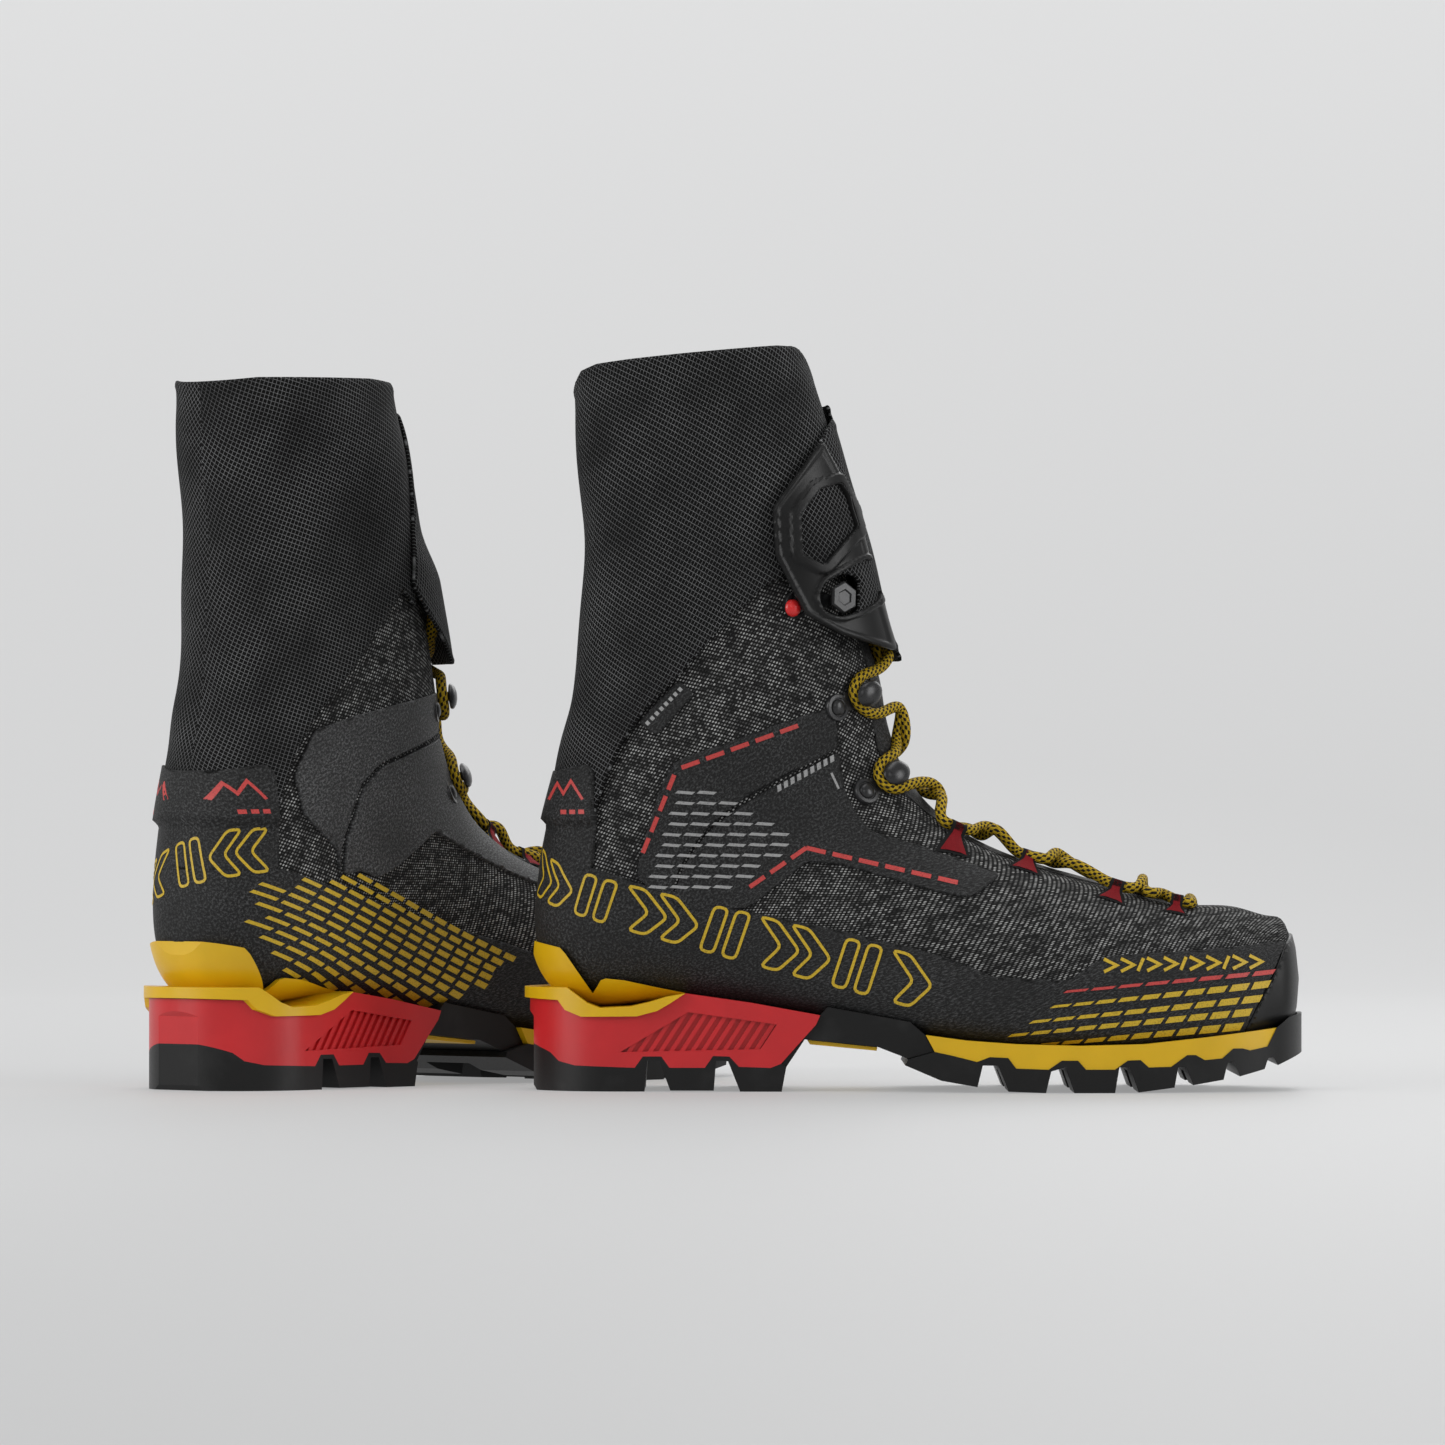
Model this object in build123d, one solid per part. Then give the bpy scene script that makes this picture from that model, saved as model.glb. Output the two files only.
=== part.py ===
"""A pair of high mountaineering boots with built-in gaiters, standing side by side.

Each boot is modelled once, as the right one, in its own frame: X runs from the back of the heel to the toe,
Y is across with the outer side at -Y, and Z is up from the floor. The left boot is its mirror image, turned and set
down behind it. All sizes are millimetres.
"""
from build123d import *
import math
import os

# ---------------------------------------------------------------- driving dimensions
LEFT_TURN = 48.0  # the left boot is turned this far, in degrees, toe away from the right one
LEFT_HEEL = (-138.0, -23.5)  # where the back of the left heel stands, seen from the back of the right heel

PAIR_SHIFT = (-77.8, -80.7, 0.0)  # from the right boot's frame to the pair's own
KNIT = 1.8  # wall of the knitted upper
LINING = 2.0  # wall of the membrane lining
OVERLAY = 1.2  # wall of the welded overlays
GAITER = 1.1  # wall of the gaiter cloth
GLUE = 0.2  # gap between two layers
LACE_R = 2.1
SECTION_POINTS = 13  # points along half a cross-section of the last
PIVOT = (62.0, 88.0)  # ankle flex axis, x and z
LOWER_SLOPE_FRONT, CUFF_SLOPE_FRONT = 30.0, 42.0  # edges of the flex notch, degrees up from the pivot forwards
LOWER_SLOPE_BACK, CUFF_SLOPE_BACK = 9.0, 17.0  # and backwards
COLLAR_TOP = 205.0

# The last, from toe to cuff: each row is one cross-section, given by its upper end (x, z), its lower end (x, z),
# the outer and inner y, how far up it is widest, how square its lower and upper halves are, and its share of growth in x.
LAST = [
    (304.0, 51.0, 304.0, 36.0, -6.0, 17.0, 0.45, 2.2, 2.2, 1.0),
    (301.5, 61.0, 302.0, 27.5, -17.0, 28.0, 0.42, 2.6, 2.2, 0.8),
    (295.0, 68.0, 296.0, 22.5, -28.0, 36.5, 0.38, 3.2, 2.2, 0.5),
    (281.0, 71.5, 282.0, 19.5, -39.0, 43.0, 0.34, 4.0, 2.3, 0.2),
    (262.0, 72.5, 262.0, 17.5, -46.0, 46.0, 0.32, 4.5, 2.3, 0.0),
    (240.0, 77.0, 240.0, 16.0, -51.0, 48.0, 0.30, 4.5, 2.2, 0.0),
    (214.0, 84.0, 214.0, 15.5, -53.0, 47.5, 0.30, 4.5, 2.1, 0.0),
    (190.5, 91.5, 186.0, 16.5, -51.0, 43.5, 0.30, 4.2, 2.0, 0.0),
    (172.0, 100.5, 155.0, 21.0, -46.5, 38.5, 0.32, 4.0, 2.0, 0.0),
    (161.0, 109.0, 122.0, 26.5, -41.5, 35.5, 0.34, 3.6, 2.0, 0.0),
    (153.5, 117.0, 86.0, 32.0, -38.5, 35.5, 0.37, 3.2, 2.0, 0.0),
    (148.5, 125.0, 48.0, 36.0, -37.5, 37.0, 0.40, 2.8, 2.0, 0.0),
    (145.0, 133.0, 16.5, 39.5, -37.5, 37.5, 0.43, 2.5, 2.0, 0.0),
    (142.5, 141.0, 6.0, 56.0, -38.0, 38.0, 0.45, 2.4, 2.0, 0.0),
    (140.5, 150.5, 6.0, 83.0, -39.5, 38.5, 0.47, 2.3, 2.0, 0.0),
    (138.5, 162.5, 10.0, 106.0, -40.5, 38.0, 0.48, 2.2, 2.0, 0.0),
    (133.5, 178.0, 16.5, 131.0, -40.0, 37.0, 0.50, 2.2, 2.1, 0.0),
    (129.5, 195.0, 21.5, 158.0, -39.5, 35.0, 0.50, 2.2, 2.2, 0.0),
    (126.0, 214.0, 24.5, 190.0, -39.0, 33.0, 0.50, 2.2, 2.2, 0.0),
    (121.5, 238.0, 25.0, 222.0, -38.0, 31.0, 0.50, 2.2, 2.2, 0.0),
    (116.5, 262.0, 23.0, 254.0, -37.5, 29.5, 0.50, 2.2, 2.2, 0.0),
    (107.0, 290.0, 21.5, 283.5, -37.0, 29.0, 0.50, 2.2, 2.2, 0.0),
]
FLAP_FIRST_ROW = 13  # the flap is lofted from this row of the last up
FLAP_FORWARD = [4.0, 6.5, 7.5, 8.0, 7.5, 6.5, 3.5, 1.5, 0.5]  # how far its front stands ahead of the last, row by row
FLAP_IN, FLAP_OUT, TAB_IN, TAB_OUT = 2.9, 4.0, 4.2, 6.4  # and how far its faces and the tab's stand off all round

# Outline of the sole seen from above, outer side first, from the heel to the toe and back.
SOLE_PLAN = [
    (38, -37.5), (75, -38.5), (115, -40.5), (150, -46), (185, -52.5), (215, -55), (240, -53), (262, -48),
    (281, -41), (295, -31), (303.5, -16), (306, 5), (303.5, 22), (296, 34), (282, 43.5), (262, 48.5),
    (240, 50.5), (215, 50), (185, 45.5), (150, 39), (115, 36.5), (75, 37), (38, 37.5),
]  # fmt: skip

# Side views of the sole unit, as (x, z).
HEEL_TOP = [(0.3, 36.0), (13.4, 35.5), (16.2, 31.8), (22.6, 29.2), (44.4, 29.4), (52.4, 31.5), (57.2, 34.3),
            (63.3, 38.3), (88.7, 34.7), (116, 29.8)]  # fmt: skip
HEEL_BREAST = [(114.4, 26.2), (100.7, 10.9)]
HEEL_SOLE_LINE = [(96.7, 9.3), (84.3, 9.7), (80.6, 13.7), (74.2, 13.9), (71, 9.3), (57.2, 9.3), (54, 13.7),
                  (46.8, 13.7), (43.6, 9.3), (20.1, 10.1), (13.8, 11.7), (10.5, 15), (3.7, 18.2)]  # fmt: skip
HEEL_BACK = [(3.7, 29), (0.3, 33)]
HEEL_LUGS = [(3.7, 2.0), (5.0, 0), (47.4, 0), (48.2, 12), (53.2, 12), (57.5, 0.4), (74.5, 0.4), (75.4, 12),
             (80, 12), (84.8, 0), (101, 0), (102.8, 9.6)]  # fmt: skip
LEDGE_BAND = [(-2, 36.3), (13.4, 35.6), (16.2, 31.8), (22.6, 29.2), (44.4, 29.4), (52.4, 31.5), (57.2, 34.3),
              (63.3, 38.3), (56, 37), (49, 34.8), (42, 33.2), (30, 32.6), (25, 34.6), (17, 40.5),
              (-2, 40.5)]  # fmt: skip
LEDGE_CUP = [(2, 40.3), (4, 58.4), (14.2, 56), (16.4, 53.6), (27.1, 38), (30.3, 43.3), (32.3, 44), (39.5, 43.3),
             (52.4, 40.5), (63.3, 38.3), (49, 34.6), (42, 33), (30, 32.4), (24.5, 34.4), (16.8, 40.3)]  # fmt: skip
BRIDGE = [(100.7, 10.9), (114.4, 26.2), (116, 29.8), (119, 33), (151, 27.3), (156.7, 22.4), (160.1, 15.9),
          (150, 13.1), (138.3, 17.6), (110, 20.4), (102.8, 9.6)]  # fmt: skip
ARCH_STRIP = [(111, 20.1), (138.3, 17.3), (138, 16), (112, 18.4)]
MIDSOLE_TOP = [(157, 22.3), (173, 20.2), (192, 18.9), (217, 18.3), (242, 18.9), (267, 21.5), (294.5, 24.8)]
MIDSOLE_LINE = [(290.7, 17.6), (283.7, 16.2), (280.6, 17), (276.9, 17), (272.5, 13.2), (265.6, 12.6),
                (262, 14.6), (258.6, 14.6), (252.3, 10.1), (243.5, 9.9), (240.3, 12.8), (235.3, 12.6),
                (230.3, 9.1), (219, 9.1), (215.9, 12.6), (209.6, 12.6), (204.5, 9.1), (191.9, 9.5),
                (188.8, 13.6), (181.8, 13.9), (176.8, 12), (166.8, 14.5), (160.5, 15.8)]  # fmt: skip
FOREFOOT_LUGS = [(150, 12.8), (149, 10.5), (163, 4.6), (177, 2.2), (179, 10.6), (185, 10.6), (189, 0.5),
                 (203.5, 0), (205.5, 8.4), (211, 10), (214.5, 0), (230.3, 0), (232, 10), (236, 10), (239.5, 0.2),
                 (253.6, 2.0), (255, 9.8), (258, 10), (261, 2.9), (273, 4.9), (274.6, 11.5), (277, 12),
                 (279.5, 6.1), (289.5, 8.8), (291, 13), (293, 13.4), (295, 10.2), (306.5, 15), (306.5, 30.3),
                 (300, 29)]  # fmt: skip
RIB_RECESS = [(37.9, 15.4), (64.5, 31), (99.1, 26.2), (92.7, 16.6)]  # the ribbed hollow in each side of the heel
RIBS, RIB_PITCH, RIB_WIDTH, RIB_LEAN = 14, 4.1, 2.0, 11.0
HEEL_CHANNEL = (14.0, 110.0, 9.0, 7.0)  # a lengthwise channel in the heel tread: from x, to x, half width, height
FOREFOOT_CHANNEL = (140.0, 262.0, 12.0, 7.5)

# Side views of the upper's panels, as (x, z).
RAND_BACK = [(279, 10), (283, 26), (292.6, 42), (297, 56), (294, 80), (330, 80), (330, 10)]
BAND_TOP = [(20, 89.5), (45.7, 81.6), (77, 72.4), (89.7, 68.3), (105.9, 61.9), (129, 56.1), (152, 52.7),
            (171.7, 49.2), (200, 44.6), (212.8, 44.6), (224.4, 52.1), (252, 55.6), (275, 56.7),
            (296.5, 56.7)]  # fmt: skip
QUARTER = [(57.8, 79.5), (61.9, 83.5), (65.4, 88.6), (125.7, 122.9), (129, 109.4), (136, 100.1), (152.2, 95.5),
           (171.4, 90.8), (186.2, 84.5), (173.4, 75.2), (164, 77.5), (140.6, 84.5), (112.9, 90.3),
           (99, 83.9), (90.9, 77), (78, 72.6)]  # fmt: skip
COLLAR_PANEL = [(63.5, 92), (48, 94.5), (48, 98.9), (55, 117.5), (58.4, 126.8), (61.9, 130.2), (82.8, 137.7),
                (105.9, 145.9), (112, 142), (118.5, 139.4)]  # fmt: skip
UNDER_TOP = [(-50, 278.1), (200, 297.1), (340, 297.1), (340, -20), (-50, -20)]
HEM = [(27.5, 104.5), (29.5, 112.9), (35.3, 126.8), (41, 140.7), (45.7, 148.7), (59.6, 160.3), (71.2, 170.7), (86.6, 188.6)]
GAITER_OUTER = HEM + [(103, 202), (106, 226), (117, 255), (121.6, 266), (140, 272), (140, 310), (-10, 310),
                      (-10, 104.5)]  # fmt: skip
GAITER_INNER = HEM + [(103, 190), (119.5, 268), (140, 272), (140, 310), (-10, 310), (-10, 104.5)]
HEEL_TAB = [(-10, 84.5), (-10, 122.5), (16, 122.5), (24, 118), (27, 108), (25, 96), (20, 87.5), (16.5, 84.5)]
FLAP_OUTER = [(97.8, 227.5), (98.4, 208.8), (104.4, 195), (109.9, 186.6), (122.3, 179.4), (141, 172.6),
              (160, 166), (160, 264), (118.5, 264), (112.7, 252)]  # fmt: skip
FLAP_INNER = [(109, 189), (131, 168), (142, 168), (160, 166), (160, 264), (122.5, 264)]
TAB = [(96.4, 227.5), (97.5, 208.8), (104.2, 194.4), (109.7, 185.8), (122.3, 178.6), (141.3, 171.3),
       (140, 177), (137.4, 189.5), (133.8, 204), (129, 219.7), (124.7, 230.5), (118.7, 242),
       (112.7, 252.9)]  # fmt: skip
PULL_WINDOW = [(112.7, 234.2), (119.3, 236.9), (124.2, 227.5), (125.6, 217.3), (114.4, 204.6), (108.1, 210),
               (107.2, 224.5)]  # fmt: skip
STUD_WINDOW = [(130.2, 208.2), (132.4, 205.8), (134.4, 192.2), (128.4, 187.1), (121, 184.6), (115, 187.5),
               (113, 193.1), (116.4, 198.4), (124.1, 200.4)]  # fmt: skip
FOOTBED = [(8, 44.5), (50, 44.5), (90, 40), (130, 33), (180, 24.5), (240, 22), (285, 25), (310, 30), (310, 0),
           (0, 0)]  # fmt: skip
LABEL = [(45, 143.8), (51.8, 138.8), (66.8, 155.6), (60.8, 160.4)]

# The lace runs through these, from the toe up, as (x, z) on either side of the throat.
LOOPS = [(254, 71.0), (231, 75.5), (198, 86.0), (167, 98.0)]
LOOP_LIFT = 3.7  # the lace's height over the knit inside a loop
LOW_STRAND, HIGH_STRAND = 4.2, 8.6  # and where two strands cross
LOWER_HOOK, UPPER_HOOK, TOP_HOOK = ((134, 117), (145, 121)), ((122.5, 150), (134, 154)), ((106.5, 190), (121, 192.5))
HOOK_BASE_R, HOOK_HEAD_R, HOOK_POST_R = 4.8, 5.2, 1.7
HOOK_BASE, HOOK_GAP, HOOK_HEAD = 1.2, 4.7, 1.4  # heights of a hook's plate, of the space for the lace, and of its head


# ---------------------------------------------------------------- building tools
def superellipse(widest, low_square, top_square):
    """Half a cross-section of unit size from its lower end to its upper one, as evenly spaced (along, across)."""
    fine = []
    for k in range(361):
        angle = math.pi * k / 360
        square = low_square if k < 180 else top_square
        along = abs(math.cos(angle)) ** (2 / square)
        along = widest * (1 - along) if k < 180 else widest + (1 - widest) * along
        fine.append((2 * along, abs(math.sin(angle)) ** (2 / square)))
    runs = [0.0]
    for (a0, c0), (a1, c1) in zip(fine, fine[1:]):
        runs.append(runs[-1] + math.hypot(a1 - a0, c1 - c0))
    even, k = [], 0
    for i in range(SECTION_POINTS):
        while k < 359 and runs[k + 1] < runs[-1] * i / (SECTION_POINTS - 1):
            k += 1
        part = (runs[-1] * i / (SECTION_POINTS - 1) - runs[k]) / (runs[k + 1] - runs[k])
        along, across = [p + (q - p) * part for p, q in zip(fine[k], fine[k + 1])]
        even.append((along / 2, across))
    return even


def cross_section(row, grow):
    """One closed cross-section of the last, grown by that much, as a wire of an outer and an inner half."""
    top_x, top_z, low_x, low_z, outer_y, inner_y, widest, low_square, top_square, share = row
    long = math.hypot(top_x - low_x, top_z - low_z)
    ux, uz = (top_x - low_x) / long, (top_z - low_z) / long
    low_x, low_z, long = low_x - ux * grow + share * grow, low_z - uz * grow, long + 2 * grow
    mid_y, half_wide = (outer_y + inner_y) / 2, (inner_y - outer_y) / 2 + grow
    shape = superellipse(widest, low_square, top_square)
    spots = [i / (SECTION_POINTS - 1) for i in range(SECTION_POINTS)]
    halves = []
    for side in (-1, 1):
        points = [(low_x + ux * long * a, mid_y + side * half_wide * c, low_z + uz * long * a) for a, c in shape]
        points = points if side < 0 else points[::-1]
        halves.append(Edge.make_spline([Vector(*p) for p in points], parameters=spots))
    return Wire(halves)


def last(grow, rows=LAST):
    """The last as one solid, grown all round, running on a little way above the top of the cuff."""
    wires = [cross_section(row, grow) for row in rows]
    wires.append(wires[-1].moved(Location((-2.4, 0, 12.0))))
    return Part() + Solid.make_loft(wires)


def layer(inside, outside):
    """The shell between two grown lasts, open at the cuff."""
    return (last(outside) & side_prism(UNDER_TOP)) - last(inside)


def side_prism(points, low=-90.0, high=90.0):
    """A side view, extruded across the boot from y low to y high."""
    face = Plane.XZ * make_face(Polyline(*points, close=True))
    return extrude(face.moved(Location((0, high, 0))), high - low, dir=(0, -1, 0))


def block(x0, x1, y0, y1, z0, z1):
    return Pos((x0 + x1) / 2, (y0 + y1) / 2, (z0 + z1) / 2) * Box(x1 - x0, y1 - y0, z1 - z0)


def sole_plan(grow, top=48.0):
    """The sole's plan, grown outwards, as a solid from the floor up."""
    points = [Vector(*p) for p in SOLE_PLAN]
    moved = [points[0] + Vector(0, -grow)]
    for before, here, after in zip(points, points[1:], points[2:]):
        along = (after - before).normalized()
        moved.append(here + Vector(along.Y, -along.X) * grow)
    moved.append(points[-1] + Vector(0, grow))
    sides = Spline(*moved, tangents=[(1, 0), (-1, 0)])
    heel = ThreePointArc(moved[-1], (0.5 - grow, 0), moved[0])
    return extrude(make_face(Wire([sides, heel])), top)


def ray_hit(solid, start, direction):
    """Where a ray from inside leaves a solid: the point and the outward normal."""
    axis = Axis(start, direction)
    hits = solid.find_intersection_points(axis)
    ahead = [h for h in hits if (h[0] - Vector(*start)).dot(Vector(*direction)) > 0]
    point, normal = max(ahead, key=lambda h: (h[0] - Vector(*start)).length)
    return point, normal if normal.dot(Vector(*direction)) > 0 else -normal


def on_side(solid, at, side, lift=0.0):
    """The point of the upper at (x, z) on the outer (-1) or inner (1) side, lifted off the surface, and its normal."""
    point, normal = ray_hit(solid, (at[0], 0, at[1]), (0, side, 0))
    return point + normal * lift, normal


def on_ridge(solid, at, lift):
    """The point of the throat's centre line ahead of (x, z), lifted off the surface."""
    ahead = (1, 0, 0) if at[1] > 125 else (0.6, 0, 0.8)
    point, normal = ray_hit(solid, (at[0] - ahead[0] * 30, 0, at[1] - ahead[2] * 30), ahead)
    return point + Vector(normal.X, 0, normal.Z).normalized() * lift


def hook_frame(solid, spots, side):
    """Where a hook sits: a plane at its rivet, x towards its head, and the reach from the one to the other."""
    base, base_normal = on_side(solid, spots[0], side)
    head, head_normal = on_side(solid, spots[1], side)
    along = (head - base).normalized()
    up = base_normal + head_normal
    up = (up - along * up.dot(along)).normalized()
    return Plane(base + up * 1.2, x_dir=along, z_dir=up), (head - base).length


def hook(solid, clear, spots, side):
    """A lace hook: a plate that follows the upper, a post, a head over the lace, and a domed rivet."""
    frame, reach = hook_frame(solid, spots, side)
    from_below = (Align.CENTER, Align.CENTER, Align.MIN)
    plate = Pos(0, 0, -3) * Cylinder(HOOK_BASE_R, HOOK_BASE + 3, align=from_below)
    arm = Pos(reach / 2 + 1, 0, HOOK_BASE / 2 - 1.5) * Box(reach + 4, 4.4, HOOK_BASE + 3)
    post = Pos(reach, 0, 0) * Cylinder(HOOK_POST_R, HOOK_BASE + HOOK_GAP + 0.5, align=from_below)
    cap = Pos(reach - 0.5, 0, HOOK_BASE + HOOK_GAP) * Cylinder(HOOK_HEAD_R, HOOK_HEAD, align=from_below)
    rivet = Pos(0, 0, HOOK_BASE - 0.2) * Cone(3.0, 2.0, 0.9, align=from_below)
    return frame * (plate + arm + post + cap + rivet) - clear


def round_hook(solid, spots, side, upwards):
    """Three points that take the lace round a hook's post, entering from below and leaving above."""
    frame, reach = hook_frame(solid, spots, side)
    beside = HOOK_POST_R + LACE_R + 0.3
    height = HOOK_BASE + 0.25 + LACE_R
    turn = 1 if frame.y_dir.Z > 0 else -1
    ends = [frame * Location((reach - beside, y * turn, height)) for y in (-beside - 0.6, beside + 0.6)]
    spots = [ends[0].position, ends[1].position]
    return spots if upwards else spots[::-1]


def loop_frame(solid, i, side):
    """The frame of one lace loop: x along the lace, z off the upper."""
    here, normal = on_side(solid, LOOPS[i], side)
    ahead = on_side(solid, LOOPS[max(i - 1, 0)], side)[0] - on_side(solid, LOOPS[min(i + 1, 3)], side)[0]
    along = (ahead - normal * ahead.dot(normal)).normalized()
    return Plane(here, x_dir=along, z_dir=normal)


def lace_loop(solid, clear, i, side):
    """A webbing loop: a flared strap down the upper, and a ring round the lace."""
    frame = loop_frame(solid, i, side)
    down = 1 if frame.y_dir.Z < 0 else -1
    ring = Cylinder(LACE_R + 1.15, 4.6) - Cylinder(LACE_R + 0.25, 6)
    ring = Pos(0, 0, LOOP_LIFT) * Rot(0, 90, 0) * ring
    outline = Polyline((-2.3, 0.5 * down), (-5.5, 12 * down), (5.5, 12 * down), (2.3, 0.5 * down), close=True)
    strap = Pos(0, 0, -9) * extrude(make_face(outline), 14)
    profile = [(0.2, 3.0), (2.5, 2.6), (12.5, 0.6), (12.5, -9), (0.2, -9)]
    strap &= extrude(Plane.YZ * make_face(Polyline(*[(y * down, z) for y, z in profile], close=True)), 6, both=True)
    strap -= Pos(0, 0, LOOP_LIFT) * Rot(0, 90, 0) * Cylinder(LACE_R + 0.25, 16)
    return frame * (strap + ring) - clear


def through_loop(solid, i, side, forwards):
    """Two points that take the lace through a loop, towards the toe or away from it."""
    frame = loop_frame(solid, i, side)
    spots = [(frame * Location((x, 0, LOOP_LIFT))).position for x in (-6, 6)]
    return spots if forwards else spots[::-1]


def lace_tube(points):
    """A tube along straight runs joined by arcs that take up to 3 mm of each run."""
    runs = [(b - a).length for a, b in zip(points, points[1:])]
    radii = []
    for i in range(1, len(points) - 1):
        turn = math.radians((points[i] - points[i - 1]).get_angle(points[i + 1] - points[i]))
        radii.append(min(3.0, 0.45 * runs[i - 1], 0.45 * runs[i]) / math.tan(turn / 2))
    path = FilletPolyline(*points, radius=radii)
    return sweep(Plane(points[0], z_dir=points[1] - points[0]) * Circle(LACE_R), path=path)


def halfway(a, b):
    return ((a[0] + b[0]) / 2, (a[1] + b[1]) / 2)


def laces(solid):
    """The lace below the ankle fold, the two strands across it, and the lace above it."""
    centres = [halfway(LOOPS[i], LOOPS[i + 1]) for i in range(3)] + [halfway(LOOPS[3], LOWER_HOOK[1])]
    lifts = [LOW_STRAND, HIGH_STRAND, LOW_STRAND, HIGH_STRAND]
    down = round_hook(solid, LOWER_HOOK, 1, upwards=False)
    for i in (3, 2, 1, 0):
        side = -1 if i % 2 else 1
        down += [on_ridge(solid, centres[i], lifts[i])] + through_loop(solid, i, side, forwards=True)
    up = []
    for i in (0, 1, 2, 3):
        side = 1 if i % 2 else -1
        other = LOW_STRAND + HIGH_STRAND - lifts[i]
        up += through_loop(solid, i, side, forwards=False) + [on_ridge(solid, centres[i], other)]
    up += round_hook(solid, LOWER_HOOK, -1, upwards=True)
    bar = [on_ridge(solid, (259, 71.5), LOW_STRAND - 0.6)]
    lower = lace_tube(down + bar + up)

    middle = halfway(LOWER_HOOK[1], UPPER_HOOK[1])
    across = []
    for side, lift in ((1, LOW_STRAND), (-1, HIGH_STRAND)):
        start = round_hook(solid, LOWER_HOOK, side, upwards=True)[1]
        end = round_hook(solid, UPPER_HOOK, -side, upwards=True)[0]
        strand = [start, on_ridge(solid, middle, lift), end]
        strand[0] += (strand[1] - start).normalized() * 2.6
        strand[2] += (strand[1] - end).normalized() * 2.6
        across.append(lace_tube(strand))

    knot_at = on_ridge(solid, (112, 199), 5.2)
    outer = round_hook(solid, UPPER_HOOK, 1, upwards=True) + [on_ridge(solid, (130, 161), 3.6)]
    outer += round_hook(solid, TOP_HOOK, -1, upwards=True) + [knot_at]
    inner = round_hook(solid, UPPER_HOOK, -1, upwards=True) + [on_ridge(solid, (130, 161), 7.9)]
    inner += [on_side(solid, (117, 186), 1, 4.0)[0], knot_at]
    knot = Pos(*knot_at) * scale(Sphere(1), (3.4, 6.0, 4.6))
    upper = lace_tube(outer) + lace_tube(inner) + knot
    return lower, Compound(children=across), upper


def solid_parts(shape, least=1.0):
    """A shape as a compound of its real solids, without slivers."""
    return Compound(children=[s for s in shape.solids() if s.volume > least])


# ---------------------------------------------------------------- one boot
def throat(grow):
    """The slot in the knit for the tongue, from the toe end of the laces up over the front of the shaft."""
    half = [(262, 4), (235, 12), (190, 17), (150, 20), (105, 20)]
    outline = [(x, y + grow) for x, y in half] + [(x, -y - grow) for x, y in half[::-1]]
    return Pos(0, 0, 62) * extrude(make_face(Polyline(*outline, close=True)), COLLAR_TOP - 42)


def notch_line(slope_back, slope_front, gap):
    """An edge of the flex notch, from behind the heel to in front of the throat."""
    x, z = PIVOT
    back = (-40.0, z + gap + (x + 40) * math.tan(math.radians(slope_back)))
    front = (200.0, z + gap + (200 - x) * math.tan(math.radians(slope_front)))
    return [back, (x, z + gap), front]


def sole_unit(foot):
    """The parts under the upper. foot is the last, grown to the outside of the overlays."""
    heel_plan = sole_plan(-1.5)
    plan = sole_plan(0.0)
    red = heel_plan & side_prism(HEEL_TOP + HEEL_BREAST + HEEL_SOLE_LINE + HEEL_BACK)
    hollow = side_prism(RIB_RECESS)
    ribs = [side_prism([(x, 15), (x + RIB_WIDTH, 15), (x + RIB_WIDTH + RIB_LEAN, 32), (x + RIB_LEAN, 32)])
            for x in (36 + RIB_PITCH * k for k in range(RIBS))]  # fmt: skip
    red -= hollow - sole_plan(-3.6)
    red += (Part() + ribs) & hollow & sole_plan(-2.3) - sole_plan(-4.0)
    lugs = heel_plan & side_prism([(100.7, 10.9)] + HEEL_SOLE_LINE + HEEL_LUGS)
    x0, x1, half, high = HEEL_CHANNEL
    lugs -= block(x0, x1, -half, half, -5, high)
    band = sole_plan(0.6) & side_prism(LEDGE_BAND)
    cup = (last(3.4) - last(OVERLAY + 2 * GLUE)) & side_prism(LEDGE_CUP)
    bridge = sole_plan(-2.5) & side_prism(BRIDGE)
    strip = sole_plan(-5.0) & side_prism(ARCH_STRIP)
    midsole = plan & side_prism(MIDSOLE_TOP + MIDSOLE_LINE)
    tread = sole_plan(0.3) & side_prism(list(reversed(MIDSOLE_LINE)) + [(294.5, 24.8), (300, 29)][:1]
                                        + list(reversed(FOREFOOT_LUGS[1:])) + FOREFOOT_LUGS[:1])  # fmt: skip
    x0, x1, half, high = FOREFOOT_CHANNEL
    tread -= block(x0, x1, -half, half, -5, high)
    return {
        "heel_outsole": lugs,
        "forefoot_outsole": tread - foot,
        "arch_bridge": bridge - foot,
        "heel_block": red - foot,
        "heel_ledge": (band - foot) + cup,
        "forefoot_midsole": (midsole - foot) + strip,
    }


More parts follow.
